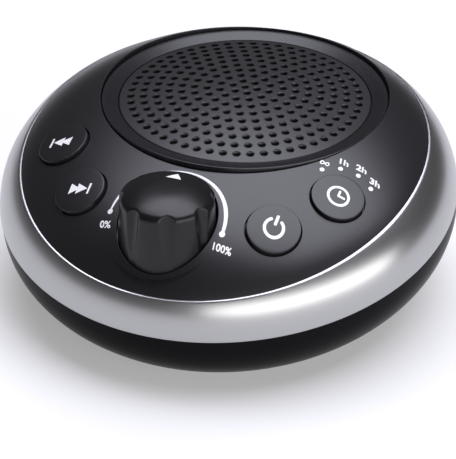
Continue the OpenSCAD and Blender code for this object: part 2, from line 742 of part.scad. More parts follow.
module speaker_magnet() color([0.12, 0.12, 0.13]) on_grille(basket_foot_z - plate_t - magnet_t) difference() {
  cylinder(r = magnet_r, h = magnet_t);
  translate([0, 0, -1]) cylinder(r = 9, h = magnet_t + 2);
}

module speaker_yoke() color([0.62, 0.63, 0.65]) on_grille(basket_foot_z - 2*plate_t - magnet_t) {
  cylinder(r = magnet_r - 1, h = plate_t);
  cylinder(r = pole_r, h = 2*plate_t + magnet_t, $fn = 64);
}

module voice_coil() color([0.72, 0.4, 0.2]) on_grille(0) difference() {
  translate([0, 0, basket_foot_z - 4]) cylinder(r = coil_gap_r + former_t/2, h = cone_neck_z + 4 - basket_foot_z, $fn = 64);
  translate([0, 0, basket_foot_z - 5]) cylinder(r = coil_gap_r - former_t/2, h = 30, $fn = 64);
}

module speaker_cone() color([0.2, 0.2, 0.21]) on_grille(0) rotate_extrude() polygon([
  [coil_gap_r + former_t/2 + slip, cone_neck_z - 1.5], [coil_gap_r + former_t/2 + slip, cone_neck_z],
  [cone_r, cone_rim_z], [cone_r, cone_rim_z - cone_t],
  [coil_gap_r + former_t/2 + cone_t, cone_neck_z - cone_t - 1]
]);

cap_r = 8;
cap_rise = 2.2;
cap_sphere_r = (cap_r*cap_r + cap_rise*cap_rise)/(2*cap_rise);
cap_foot_z = cone_neck_z + (cone_rim_z - cone_neck_z)*(cap_r - coil_gap_r)/(cone_r - coil_gap_r) + 0.15;

module speaker_dust_cap() color([0.1, 0.1, 0.1]) on_grille(cap_foot_z) intersection() {
  translate([0, 0, cap_rise - cap_sphere_r]) difference() {
    sphere(r = cap_sphere_r);
    sphere(r = cap_sphere_r - 0.3);
  }
  cylinder(r = cap_r, h = 5);
}

module speaker_surround() color([0.05, 0.05, 0.05]) on_grille(0) rotate_extrude() polygon(concat(
  [[cone_r + slip, cone_rim_z - cone_t], [cone_r + slip, cone_rim_z]],
  [for (a = [180:-15:0]) [cone_r + roll_r + 0.3 + roll_r*cos(a), speaker_z + 0.1 + roll_r*0.55*sin(a)]],
  [[throat_r + 0.5, speaker_z + 0.35], [throat_r + 0.5, speaker_z + slip], [throat_r - 0.95, speaker_z + slip]],
  [for (a = [0:15:180]) [cone_r + roll_r + 0.3 + (roll_r - 0.4)*cos(a), speaker_z - 0.3 + roll_r*0.55*sin(a)]]
));

module speaker_spider() color([0.75, 0.6, 0.35]) on_grille(0) {
  waves = 4;
  inner_r = coil_gap_r + former_t/2 + slip;
  span = spider_r - inner_r;
  rotate_extrude() polygon(concat(
    [for (i = [0:4*waves]) [inner_r + span*i/(4*waves), spider_z + 0.15 + 0.5*sin(90*i)]],
    [for (i = [4*waves:-1:0]) [inner_r + span*i/(4*waves), spider_z - 0.15 + 0.5*sin(90*i)]]
  ));
  difference() {
    translate([0, 0, basket_foot_z + 1.2]) cylinder(r = spider_r + 0.9, h = spider_z - basket_foot_z - 1.2 + 0.3);
    translate([0, 0, basket_foot_z]) cylinder(r = spider_r - 0.2, h = 10);
  }
}

module speaker_screws() color([0.6, 0.6, 0.62]) on_grille(speaker_z - flange_t)
  for (i = [0:3]) rotate([0, 0, 45 + 90*i]) translate([speaker_screw_r, 0, 0]) small_screw(flange_t + gasket_t + 0.9, speaker_head_r);

// Leads ----------------------------------------------------------------------
lead_r = 0.6;
lead_sides = 8;
lead_gap = 0.35;

function bezier(p, t) =
  pow(1 - t, 3)*p[0] + 3*pow(1 - t, 2)*t*p[1] + 3*(1 - t)*t*t*p[2] + pow(t, 3)*p[3];
function unit(v) = v/norm(v);

// Tube of round section along a curve of four control points
module lead(p, rings = 18) {
  centres = [for (i = [0:rings]) bezier(p, i/rings)];
  ways = [for (i = [0:rings]) unit(centres[min(i + 1, rings)] - centres[max(i - 1, 0)])];
  flat = cross(p[3] - p[0], p[1] - p[0] + p[3] - p[2]);
  sides = [for (w = ways) unit(cross(w, flat))];
  points = [for (i = [0:rings], k = [0:lead_sides - 1])
    let (a = 360*k/lead_sides) centres[i] + lead_r*(cos(a)*sides[i] + sin(a)*cross(ways[i], sides[i]))];
  walls = [for (i = [0:rings - 1], k = [0:lead_sides - 1])
    let (n = (k + 1)%lead_sides)
    [i*lead_sides + k, i*lead_sides + n, (i + 1)*lead_sides + n, (i + 1)*lead_sides + k]];
  last = rings*lead_sides;
  polyhedron(points, concat(walls,
    [[for (k = [lead_sides - 1:-1:0]) k]], [[for (k = [0:lead_sides - 1]) last + k]]), convexity = 4);
}

module speaker_leads() color([0.6, 0.05, 0.05]) {
  tag = [spider_r + 1.5 + tag_l, grille_y, basket_foot_z + 1.7];
  plug = [plug_x + lead_step/2, plug_y, main_board_top + plug_size[2] - 1];
  for (k = [0, 1]) let (y = 3*k - 1.5, x = -lead_step*k)
    lead([plug + [x, lead_gap, 0], plug + [x, 8, 2], tag + [11, y, -6], tag + [lead_gap, y, 0]]);
}

module socket_leads() color([0.1, 0.1, 0.1]) {
  plug = [-plug_x - lead_step/2, plug_y, main_board_top + plug_size[2] - 1];
  tail = [-lead_step/2, pocket_floor_y - pocket_t - socket_body_l - socket_tag_l, socket_h];
  for (k = [0, 1]) let (x = lead_step*k)
    lead([plug + [x, lead_gap, 0], plug + [x - 9, 22, 4], tail + [x - 10, -14, -4], tail + [x, -lead_gap, 0]]);
}

base_shell();
trim_band();
top_cover();
grille_bezel();
speaker_grille();
dust_screen();
volume_knob();
pot_shaft();
pot_body();
pot_nut();
control_board();
previous_button();
next_button();
power_button();
timer_button();
previous_plunger();
next_plunger();
power_plunger();
timer_plunger();
tact_switches();
left_button_board();
right_button_board();
button_board_screws();
timer_leds();
lamp_pipes();
speaker_basket();
speaker_yoke();
speaker_magnet();
speaker_top_plate();
speaker_gasket();
speaker_screws();
speaker_cone();
speaker_dust_cap();
voice_coil();
speaker_surround();
speaker_spider();
main_board();
amplifier_parts();
main_board_screws();
power_socket();
speaker_leads();
socket_leads();
rubber_feet();
base_screws();
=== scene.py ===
"""White noise sound machine: a leaning pebble with a black domed cover, a satin
silver band, a black bowl base, a perforated speaker grille, a fluted volume
knob and four round buttons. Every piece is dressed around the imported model."""

import json
import math

import bmesh
import bpy
import numpy as np
from mathutils import Matrix, Vector
from mathutils.geometry import delaunay_2d_cdt

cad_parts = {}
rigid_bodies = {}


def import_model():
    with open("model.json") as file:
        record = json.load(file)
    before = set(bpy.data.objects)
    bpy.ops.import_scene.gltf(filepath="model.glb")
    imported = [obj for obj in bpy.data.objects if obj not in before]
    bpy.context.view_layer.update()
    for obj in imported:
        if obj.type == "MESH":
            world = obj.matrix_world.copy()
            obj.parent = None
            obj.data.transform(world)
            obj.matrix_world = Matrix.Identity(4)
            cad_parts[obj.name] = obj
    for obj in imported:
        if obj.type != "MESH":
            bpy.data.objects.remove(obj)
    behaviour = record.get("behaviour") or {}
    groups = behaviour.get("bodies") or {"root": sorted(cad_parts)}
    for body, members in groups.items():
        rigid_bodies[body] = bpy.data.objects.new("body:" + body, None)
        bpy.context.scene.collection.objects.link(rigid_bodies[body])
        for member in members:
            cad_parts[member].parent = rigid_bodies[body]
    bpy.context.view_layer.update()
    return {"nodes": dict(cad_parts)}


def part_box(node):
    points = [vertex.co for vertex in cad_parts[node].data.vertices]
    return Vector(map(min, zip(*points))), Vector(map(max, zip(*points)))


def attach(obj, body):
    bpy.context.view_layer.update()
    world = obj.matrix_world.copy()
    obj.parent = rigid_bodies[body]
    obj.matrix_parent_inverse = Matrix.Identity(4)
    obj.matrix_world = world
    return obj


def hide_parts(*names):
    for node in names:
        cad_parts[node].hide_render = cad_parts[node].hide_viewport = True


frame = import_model()
NODES = frame["nodes"]

bl_info = {
    "name": "Sound Machine",
    "version": (1, 0, 0),
    "blender": (4, 5, 0),
    "location": "3D View > Sidebar > Sound Machine",
    "description": "Dresses the packed sound machine with its skins, controls, print and studio",
    "category": "Add Mesh",
}

MM = 0.001
UP = np.array([0.0, 0.0, 1.0])
BAND_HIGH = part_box("trim_band")[1]
GRILLE_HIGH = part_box("speaker_grille")[1]
BEZEL_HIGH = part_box("grille_bezel")[1]
KNOB_LOW, KNOB_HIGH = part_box("volume_knob")


# ---------------------------------------------------------------- settings


def length(name, description, default):
    return bpy.props.FloatProperty(
        name=name, description=description, default=default, unit="LENGTH", precision=5
    )


def number(name, description, default, **more):
    return bpy.props.FloatProperty(name=name, description=description, default=default, **more)


def count(name, description, default):
    return bpy.props.IntProperty(name=name, description=description, default=default)


def colour(name, description, default):
    return bpy.props.FloatVectorProperty(
        name=name, description=description, default=default, subtype="COLOR", size=3, min=0, max=1
    )


class SoundMachineBody(bpy.types.PropertyGroup):
    radius: length("Radius", "Radius of the widest circle", round(BAND_HIGH.x, 4) + 0.0001)
    waist: length("Waist height", "Height of the widest circle's centre above the floor", 0.0253)
    lean: number("Lean", "Lean of the body axis to the front", math.radians(9.3), subtype="ANGLE")
    dome: length("Dome height", "Height of the dome above the widest circle", 0.0303)
    fullness: number("Fullness", "Exponent of the dome's outline", 2.5)
    bowl: length("Bowl depth", "Depth of the bowl without its flat floor", 0.0316)
    floor: length("Floor height", "Height of the bowl's flat floor", 0.0015)
    reveal: length("Reveal", "How far the cover and the bowl sit back from the band", 0.0003)
    wall: length("Wall", "Wall of the cover and the bowl", 0.0024)
    seam: length("Seam height", "Height of the band's lower edge above the widest circle", 0.00325)
    band_top: length("Band top", "Highest point of the band's upper edge", 0.01815)
    band_arc: length("Band arc", "Radius of the band's saddle-shaped upper edge", 0.48)
    band_crest: length("Band crest", "How far behind the axis the upper edge is highest", 0.002)
    band_wall: length("Band thickness", "Thickness of the band", 0.0018)
    band_edge: length("Band edge", "Radius of the band's two outer edges", 0.0003)


class SoundMachineTop(bpy.types.PropertyGroup):
    grille_y: length("Grille place", "Distance of the grille behind the origin", 0.0126)
    grille_radius: length("Grille radius", "Radius of the perforated grille", round(GRILLE_HIGH.x, 4))
    grille_edge: length("Grille edge height", "Height of the grille's edge above the floor", 0.05037)
    grille_rise: length("Grille rise", "Rise of the domed grille", 0.004)
    grille_sheet: length("Grille sheet", "Thickness of the grille", 0.0012)
    hole_radius: length("Hole radius", "Radius of one perforation", 0.00105)
    hole_lip: length("Hole lip", "Rounded lip of one perforation", 0.00022)
    hole_pitch: length("Hole pitch", "Distance from one ring of perforations to the next", 0.0036)
    hole_rings: count("Hole rings", "Rings round the middle hole", 9)
    ring_radius: length("Ring radius", "Outer radius of the bevelled ring", round(BEZEL_HIGH.x, 4))
    ring_top: length("Ring height", "Height of the ring above the floor", round(BEZEL_HIGH.z, 5))
    ring_gap: length("Ring gap", "Gap round the ring", 0.0003)
    knob_x: length("Knob sideways", "Sideways place of the knob", -0.0004)
    knob_y: length("Knob place", "Place of the knob along the depth", -0.045)
    knob_radius: length("Knob radius", "Radius of the knob", 0.01345)
    knob_gap: length("Knob gap", "Gap between the knob and its well", 0.00025)
    knob_taper: length("Knob taper", "How much the knob narrows from its foot to its shoulder", 0.0004)
    shoulder: length("Knob shoulder", "Radius of the knob's shoulder", 0.0026)
    crown: length("Knob crown", "Rise of the knob's domed top", 0.0021)
    flutes: count("Flutes", "Number of flutes", 8)
    flute_radius: length("Flute radius", "Radius of a flute", 0.0032)
    flute_depth: length("Flute depth", "Depth of a flute at the knob's shoulder", 0.0015)
    flute_foot: length("Flute foot", "Height of a flute's lower end", 0.0038)
    flute_edge: length("Flute edge", "Softness of a flute's edges", 0.0003)
    button_radius: length("Button radius", "Radius of a button", 0.00735)
    button_proud: length("Button height", "Height of a button above the cover", 0.0009)
    button_gap: length("Button gap", "Gap round a button", 0.0004)
    button_edge: length("Button edge", "Radius of a button's upper edge", 0.0002)
    lamp_radius: length("Lamp radius", "Radius of a timer lamp", 0.00068)
    print_lift: length("Print height", "Height of the printed marks above their surface", 0.00003)


class SoundMachineColours(bpy.types.PropertyGroup):
    cover: colour("Cover", "Satin black of the cover and the buttons", (0.010, 0.010, 0.0115))
    ring: colour("Ring", "Satin black of the grille's ring", (0.010, 0.010, 0.012))
    grille: colour("Grille", "Painted black of the grille", (0.020, 0.020, 0.022))
    base: colour("Base", "Satin black of the bowl", (0.005, 0.005, 0.0055))
    knob: colour("Knob", "Satin black of the knob", (0.005, 0.005, 0.0055))
    band: colour("Band", "Satin silver of the band", (0.42, 0.42, 0.425))
    ink: colour("Print", "White of the printed marks", (0.9, 0.9, 0.9))
    floor: colour("Floor", "Pale studio floor", (0.64, 0.64, 0.64))


class SoundMachineStudio(bpy.types.PropertyGroup):
    camera_place: bpy.props.FloatVectorProperty(
        name="Camera place",
        description="Where the camera stands",
        default=(0.2409, -0.6255, 0.4284),
        subtype="TRANSLATION",
        unit="LENGTH",
    )
    camera_back: bpy.props.FloatVectorProperty(
        name="Camera back",
        description="Direction out of the camera's back",
        default=(0.3061, -0.7938, 0.5257),
    )
    lens: number("Lens", "Focal length in millimetres", 215.8)
    floor_size: length("Floor size", "Width of the studio floor", 12.0)
    world: number("World", "Level of the studio's fill light", 0.1)
    floor_glow: number("Floor glow", "Light that only the view and reflections find on the floor", 0.3)


def settings(context):
    return context.scene.machine_body, context.scene.machine_top


# ---------------------------------------------------------------- shapes of the body, in millimetres


def turn_x(angle):
    c, s = math.cos(angle), math.sin(angle)
    return np.array([[1, 0, 0], [0, c, -s], [0, s, c]])


def turn_z(angle):
    c, s = math.cos(angle), math.sin(angle)
    return np.array([[c, -s, 0], [s, c, 0], [0, 0, 1]])


def unit(v):
    return v / np.linalg.norm(v, axis=-1, keepdims=True)


def turns(steps):
    """Angles of one whole turn."""
    return np.arange(steps) * 2 * math.pi / steps


def circle(radius, steps):
    a = turns(steps)
    return radius * np.stack([np.cos(a), np.sin(a)], 1)


def arc(centre, radius, start, end, steps):
    """Points on an arc between two angles in degrees."""
    a = np.radians(np.linspace(start, end, steps))
    return np.asarray(centre) + np.stack([np.cos(a), np.sin(a)], 1) * radius


def halve(low, high, test, steps=40):
    """Narrows bounds down on the last place where a test holds."""
    for _ in range(steps):
        mid = (low + high) / 2
        holds = test(mid)
        low, high = np.where(holds, mid, low), np.where(holds, high, mid)
    return low, high


def upright(x, y, z=80.0):
    """A place, as its origin and axes, whose z axis stands upright."""
    return np.array([x, y, z]), np.eye(3)


OVERHEAD = upright(0, 0, 66.0)


def plan_xy(p):
    return p[:, :2]


class Pebble:
    """The body's outline: a dome over a bowl, both drawn round the leaning axis."""

    def __init__(self, body):
        self.r, self.h, self.n, self.b = body.radius / MM, body.dome / MM, body.fullness, body.bowl / MM
        self.turn, self.rise = turn_x(body.lean), np.array([0, 0, body.waist / MM])
        self.body = body

    def world(self, p):
        return np.asarray(p, float) @ self.turn.T + self.rise

    def local(self, p):
        return (np.asarray(p, float) - self.rise) @ self.turn

    def dome_z(self, r, inset=0.0):
        share = np.clip(r / (self.r - inset), 0, 1)
        return (self.h - inset) * (1 - share**self.n) ** (1 / self.n)

    def outline_r(self, z, inset=0.0):
        """Radius at a height over the widest circle, on the dome or the bowl."""
        dome = np.clip(z / (self.h - inset), 0, 1)
        bowl = np.clip(-z / (self.b - inset), 0, 1)
        return (self.r - inset) * np.where(z > 0, (1 - dome**self.n) ** (1 / self.n), np.sqrt(1 - bowl**2))

    def slope(self, r):
        share = r / self.r
        return math.atan(self.h / self.r * share ** (self.n - 1) * (1 - share**self.n) ** (1 / self.n - 1))

    def field(self, p, inset):
        """Implicit value and gradient at world points."""
        q = self.local(p)
        r = np.maximum(np.hypot(q[:, 0], q[:, 1]), 1e-9)
        z, high = q[:, 2], q[:, 2] > 0
        n = np.where(high, self.n, 2.0)
        deep = np.where(high, self.h, self.b) - inset
        share, lift = r / (self.r - inset), np.abs(z) / deep
        value = share**n + lift**n - 1
        along = n * share ** (n - 1) / (self.r - inset)
        up = np.sign(z) * n * lift ** (n - 1) / deep
        gradient = np.stack([along * q[:, 0] / r, along * q[:, 1] / r, up], 1) @ self.turn.T
        return value, gradient

    def normal(self, p, inset):
        return unit(self.field(p, inset)[1])

    def hit(self, place, xy, inset):
        """Points where lines along a place's z axis meet the body's surface."""
        origin, axes = place
        p = origin + np.atleast_2d(xy) @ axes[:, :2].T
        for _ in range(14):
            value, gradient = self.field(p, inset)
            p = p - np.outer(value / (gradient @ axes[:, 2]), axes[:, 2])
        return p

    def band_z(self, y):
        """Height of the band's upper edge surface over the widest circle."""
        b = self.body
        sweep, crest = b.band_arc / MM, b.band_crest / MM
        return b.band_top / MM - sweep + np.sqrt(sweep**2 - (y - crest) ** 2)

    def edge_r(self, angles, inset, lift=0.0):
        """Radius where the dome meets the band's upper edge surface, for angles from the front."""
        low, high = halve(
            np.full(len(angles), 30.0),
            np.full(len(angles), self.r - inset - 0.01),
            lambda r: self.dome_z(r, inset) > self.band_z(-r * np.cos(angles)) + lift,
        )
        return (low + high) / 2

    def ring(self, angles, r, z):
        """World points round the axis, for angles from the front."""
        return self.world(np.stack([r * np.sin(angles), -r * np.cos(angles), z + 0 * r], 1))


# Radius and angle from the front of the places of a pair of buttons, round the leaning axis
PAIR_R, PAIR_A = 45.4, math.radians(50.9)
REAR, FRONT = (44.8, math.radians(64.2)), (46.0, math.radians(37.6))
LAMP_ORBIT, LAMP_ANGLES = 10.4, np.radians(39.6 - 28.8 * np.arange(-1.5, 2))


def pair_place(pebble, side):
    """Place of a pair of buttons: side is 1 for the right pair and -1 for the left one."""
    axes = pebble.turn @ turn_z(PAIR_A) @ turn_x(pebble.slope(PAIR_R))
    origin = pebble.world(turn_z(PAIR_A) @ np.array([0, -PAIR_R, pebble.dome_z(PAIR_R)]))
    flip = np.diag([side, 1, 1])
    return flip @ origin, flip @ axes


def pair_xy(pebble, spot):
    r, a = spot
    along, up = PAIR_R - r * math.cos(a - PAIR_A), pebble.dome_z(r) - pebble.dome_z(PAIR_R)
    tilt = pebble.slope(PAIR_R)
    return np.array([r * math.sin(a - PAIR_A), along * math.cos(tilt) + up * math.sin(tilt)])


def spot_place(pebble, side, xy):
    origin, axes = pair_place(pebble, side)
    return origin + axes[:, :2] @ xy, axes


def button_places(pebble):
    """Name, side and place of each button."""
    spots = (("previous", -1, REAR), ("next", -1, FRONT), ("power", 1, FRONT), ("timer", 1, REAR))
    return [(name, side, spot_place(pebble, side, pair_xy(pebble, spot))) for name, side, spot in spots]


def lamp_places(pebble):
    centre = pair_xy(pebble, REAR)
    ways = [np.array([math.cos(a), math.sin(a)]) for a in LAMP_ANGLES]
    return [spot_place(pebble, 1, centre + LAMP_ORBIT * way) for way in ways]


# ---------------------------------------------------------------- meshes


class Draft:
    """Points, faces and normals of a piece, in millimetres."""

    def __init__(self):
        self.points, self.normals, self.faces = [], [], []
        self.count = 0

    def add(self, points, normals=None):
        points = np.atleast_2d(np.asarray(points, float))
        normals = np.zeros_like(points) if normals is None else np.atleast_2d(normals)
        self.points.append(points)
        self.normals.append(np.broadcast_to(normals, points.shape))
        first = self.count
        self.count += len(points)
        return np.arange(first, self.count)

    def strip(self, low, high):
        """Quads between two closed rows of points, facing left of the way from low to high."""
        for i, j in zip(range(len(low)), [*range(1, len(low)), 0]):
            self.faces.append((int(low[i]), int(low[j]), int(high[j]), int(high[i])))

    def fan(self, loop, centre, flip=False):
        for a, b in zip(loop, np.roll(loop, -1)):
            self.faces.append((int(b), int(a), int(centre)) if flip else (int(a), int(b), int(centre)))

    def join(self, low, high):
        """Joins two rows, either of which may be a single point."""
        if len(low) == 1:
            self.fan(high, low[0], flip=True)
        elif len(high) == 1:
            self.fan(low, high[0])
        else:
            self.strip(low, high)

    def mirror(self):
        self.faces = [f[::-1] for f in self.faces]

    def mesh(self, name, angle=32.0, own=None):
        points, normals = np.concatenate(self.points) * MM, np.concatenate(self.normals)
        mesh = bpy.data.meshes.new(name)
        mesh.from_pydata(points.tolist(), [], self.faces)
        smooth(mesh, angle)
        if np.any(normals):
            give_normals(mesh, normals, own)
        used = np.zeros(len(points), bool)
        used[[v for f in self.faces for v in f]] = True
        if not used.all():
            edit = bmesh.new()
            edit.from_mesh(mesh)
            edit.verts.ensure_lookup_table()
            bmesh.ops.delete(edit, geom=[edit.verts[int(k)] for k in np.flatnonzero(~used)], context="VERTS")
            edit.to_mesh(mesh)
            edit.free()
        return mesh


def smooth(mesh, angle):
    mesh.shade_smooth()
    mesh.set_sharp_from_angle(angle=math.radians(angle))


def give_normals(mesh, normals, faces=None):
    """Sets the normal of each point that has one; the others, and faces left out, keep their own."""
    corner = np.zeros(len(mesh.loops), np.int32)
    mesh.loops.foreach_get("vertex_index", corner)
    chosen = normals[corner]
    if faces is not None:
        totals = np.zeros(len(mesh.polygons), np.int32)
        mesh.polygons.foreach_get("loop_total", totals)
        chosen = chosen * np.repeat(faces, totals)[:, None]
    mesh.normals_split_custom_set(chosen.tolist())


def inside(points, loop):
    """Which plan points lie inside a closed loop."""
    a, b = loop, np.roll(loop, -1, axis=0)
    x, y = points[:, :1], points[:, 1:]
    crosses = (a[:, 1] > y) != (b[:, 1] > y)
    with np.errstate(divide="ignore", invalid="ignore"):
        at = a[:, 0] + (y - a[:, 1]) * (b[:, 0] - a[:, 0]) / (b[:, 1] - a[:, 1])
    return (crosses & (x < at)).sum(1) % 2 == 1


def clear_of(points, others, room):
    """The points that keep some room from all others, which are taken a batch at a time."""
    keep, batch = np.ones(len(points), bool), 400
    for k in range(0, len(others), batch):
        near = ((points[:, None] - others[None, k : k + batch]) ** 2).sum(2).min(1)
        keep &= near > room**2
    return points[keep]


def staggered(low, high, step):
    """Plan points in rows that are shifted by half a step in turn, from low up to high."""
    x, y = np.meshgrid(np.arange(low[0], high[0], step[0]), np.arange(low[1], high[1], step[1]))
    x = x + step[0] / 2 * (np.arange(len(y)) % 2)[:, None]
    return np.stack([x.ravel(), y.ravel()], 1)


LIP_STEPS = np.radians([90, 68, 45, 22, 0])


class BodyWall:
    """The body's surface at an inset, as a wall that holes are cut through."""

    def __init__(self, pebble, inset):
        self.pebble, self.inset = pebble, inset

    def hit(self, place, xy):
        return self.pebble.hit(place, xy, self.inset)

    def normal(self, p):
        return self.pebble.normal(p, self.inset)


class FlatWall:
    """A level wall that faces down."""

    def __init__(self, height):
        self.height = height

    def hit(self, place, xy):
        origin, axes = place
        p = origin + np.atleast_2d(xy) @ axes[:, :2].T
        return np.column_stack([p[:, :2], np.full(len(p), self.height)])

    def normal(self, p):
        return np.tile(-UP, (len(p), 1))


class Chart:
    """A part of a skin that is triangulated in its own plan."""

    def __init__(self, skin, wall, to_plan):
        self.skin, self.wall, self.to_plan = skin, wall, to_plan
        self.ids, self.plan, self.edges, self.holes = [], [], [], []
        self.outline = None

    def tie(self, ids, plan, loose=False):
        """Adds a row of points to the plan, joined up in a loop unless it is loose."""
        self.ids.append(ids)
        first, n = sum(len(part) for part in self.plan), len(ids)
        self.plan.append(plan)
        if not loose:
            self.edges += [(first + i, first + (i + 1) % n) for i in range(n)]

    def border(self, ids, plan):
        self.tie(ids, plan)
        self.outline = plan

    def hole(self, place, radius, lip, depth, steps, rings=(0.35, 0.9)):
        """A round hole with a rounded lip, along its place's z axis, and rings of points round it."""
        _, axes = place
        spokes = circle(1.0, steps)
        outward = spokes @ axes[:, :2].T
        for k, bend in enumerate(LIP_STEPS):
            p = self.wall.hit(place, spokes * (radius + lip * (1 - math.sin(bend))))
            n = self.wall.normal(p)
            tilted = unit(n * math.cos(bend) - outward * math.sin(bend))
            inward = -axes[:, 2] * depth if k == 0 else None
            ids = self.skin.row(p - n * lip * (1 - math.cos(bend)), tilted, inward)
            plan = self.to_plan(p)
            self.tie(ids, plan)
            if k == 0:
                self.holes.append(plan)
        for ring in rings:
            p = self.wall.hit(place, spokes * (radius + lip + ring))
            self.tie(self.skin.row(p, self.wall.normal(p)), self.to_plan(p))

    def fill(self, plan, to_point, room):
        """Free points over the plan, kept clear of every row."""
        plan = plan[inside(plan, self.outline)]
        for loop in self.holes:
            plan = plan[~inside(plan, loop)]
        plan = clear_of(plan, np.concatenate(self.plan), room)
        p = to_point(plan)
        self.tie(self.skin.row(p, self.wall.normal(p)), plan, loose=True)

    def faces(self):
        plan, ids = np.concatenate(self.plan), np.concatenate(self.ids)
        _, _, tris, source, _, _ = delaunay_2d_cdt([Vector(p) for p in plan], self.edges, [], 0, 1e-7, True)
        back = np.array([s[0] if s else -1 for s in source])
        tris = back[np.array([t for t in tris if len(t) == 3])]
        tris = tris[(tris >= 0).all(1)]
        middle = plan[tris].mean(1)
        keep = inside(middle, self.outline)
        for loop in self.holes:
            keep &= ~inside(middle, loop)
        return ids[tris[keep]]


class Skin:
    """A wall of the body: its outer side, made of charts, its inner side and the edges between."""

    def __init__(self, wall):
        self.wall, self.count = wall, 0
        self.points, self.normals, self.inward, self.charts = [], [], [], []
        # Points that meet others where a chart is cut open, and the points they become
        self.same = {}

    def row(self, points, normals, inward=None):
        n = len(points)
        self.points.append(points)
        self.normals.append(normals)
        self.inward.append(-self.wall * normals if inward is None else np.broadcast_to(inward, points.shape))
        self.count += n
        return np.arange(self.count - n, self.count)

    def chart(self, wall, to_plan):
        self.charts.append(Chart(self, wall, to_plan))
        return self.charts[-1]

    def mesh(self, name, flat=()):
        """The whole wall; flat charts keep the normals of their faces."""
        points, normals, inward = (np.concatenate(rows) for rows in (self.points, self.normals, self.inward))
        weld = np.arange(self.count)
        for extra, kept in self.same.items():
            weld[extra] = kept
        made, own, tris = Draft(), [], []
        made.add(points, normals)
        made.add(points + inward)
        for chart in self.charts:
            part = weld[chart.faces()]
            a, b, c = (points[part[:, k]] for k in range(3))
            middle = chart.wall.normal((a + b + c) / 3)
            wrong = (np.cross(b - a, c - a) * middle).sum(1) < 0
            part[wrong] = part[wrong][:, ::-1]
            tris.append(part)
            own.append(np.full(len(part), chart not in flat))
        tris = np.concatenate(tris)
        made.faces += [tuple(t) for t in tris.tolist()]
        made.faces += [tuple(v + self.count for v in t[::-1]) for t in tris.tolist()]
        sides = np.concatenate([tris[:, [0, 1]], tris[:, [1, 2]], tris[:, [2, 0]]]).tolist()
        there = set(map(tuple, sides))
        made.faces += [(v, u, u + self.count, v + self.count) for u, v in there if (v, u) not in there]
        own += [np.zeros(len(tris), bool), np.ones(len(made.faces) - 2 * len(tris), bool)]
        return made.mesh(name, own=np.concatenate(own))


def lathe(rows, steps, place, name, caps=True, angle=32.0):
    """A turned piece: rows of (radius, height) from the bottom's middle to the top's middle.

    A height may be one number or one for each spoke. Without caps the last row joins the first.
    """
    made = Draft()
    origin, axes = place
    spokes = circle(1.0, steps)
    loops = []
    for radius, height in rows:
        if radius == 0:
            loops.append(made.add(origin + axes[:, 2] * height))
        else:
            rise = np.outer(height + 0 * spokes[:, 0], axes[:, 2])
            loops.append(made.add(origin + radius * spokes @ axes[:, :2].T + rise))
    for low, high in zip(loops, loops[1:] if caps else loops[1:] + loops[:1]):
        made.join(low, high)
    if np.linalg.det(axes) < 0:
        made.mirror()
    return made.mesh(name, angle)


def place_piece(mesh, name, body, slot, material, *replaced):
    """Puts a finished mesh in the scene with its material, ties it to its body and hides the CAD nodes that
    it replaces.
    """
    mesh.name = name
    mesh.materials.clear()
    mesh.materials.append(material)
    piece = link(bpy.data.objects.new(name, mesh))
    if replaced:
        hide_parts(*replaced)
    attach(piece, body)
    return piece


def link(thing):
    bpy.context.scene.collection.objects.link(thing)
    return thing


def baked(mesh, part, tree, values, name):
    """Runs a node tree, given a part's object, on a mesh and returns the result as a plain mesh."""
    holder, part = link(bpy.data.objects.new("holder", mesh)), link(bpy.data.objects.new("part", part))
    modifier = holder.modifiers.new(tree.name, "NODES")
    modifier.node_group = tree
    values = {**values, "Part": part}
    for item in tree.interface.items_tree:
        if item.item_type == "SOCKET" and item.in_out == "INPUT" and item.name in values:
            modifier[item.identifier] = values[item.name]
    holder.update_tag()
    bpy.context.view_layer.update()
    ready = holder.evaluated_get(bpy.context.evaluated_depsgraph_get())
    made = bpy.data.meshes.new_from_object(ready)
    made.name = name
    bpy.data.objects.remove(holder)
    bpy.data.objects.remove(part)
    return made


# ---------------------------------------------------------------- node trees


class Value:
    """A node socket that takes part in sums."""

    def __init__(self, graph, socket):
        self.graph, self.socket = graph, socket

    def fn(self, operation, *others):
        return self.graph.math(operation, self, *others)

    def __add__(self, other):
        return self.graph.math("ADD", self, other)

    def __sub__(self, other):
        return self.graph.math("SUBTRACT", self, other)

    def __rsub__(self, other):
        return self.graph.math("SUBTRACT", other, self)

    def __mul__(self, other):
        return self.graph.math("MULTIPLY", self, other)

    def __truediv__(self, other):
        return self.graph.math("DIVIDE", self, other)

    __radd__, __rmul__ = __add__, __mul__


class Graph:
    """A node tree of one kind, built by naming nodes, their settings and their inputs."""

    def __init__(self, tree, prefix):
        self.tree, self.prefix = tree, prefix

    def node(self, kind, options=None, *inputs, out=0, **named):
        prefix = "ShaderNode" if kind in ("Math", "VectorMath", "CombineXYZ", "Mix") else self.prefix
        made = self.tree.nodes.new(prefix + kind)
        for key, value in (options or {}).items():
            setattr(made, key, value)
        pairs = list(enumerate(inputs)) + [(key.replace("_", " "), value) for key, value in named.items()]
        for key, value in pairs:
            socket = made.inputs[key]
            if isinstance(value, Value):
                self.tree.links.new(value.socket, socket)
            elif value is not None:
                socket.default_value = value
        return Value(self, made.outputs[out])

    def math(self, operation, *inputs):
        return self.node("Math", {"operation": operation}, *inputs)

    def end(self, kind, value):
        """Links a value to the tree's output."""
        self.tree.links.new(value.socket, self.tree.nodes.new(kind).inputs[0])


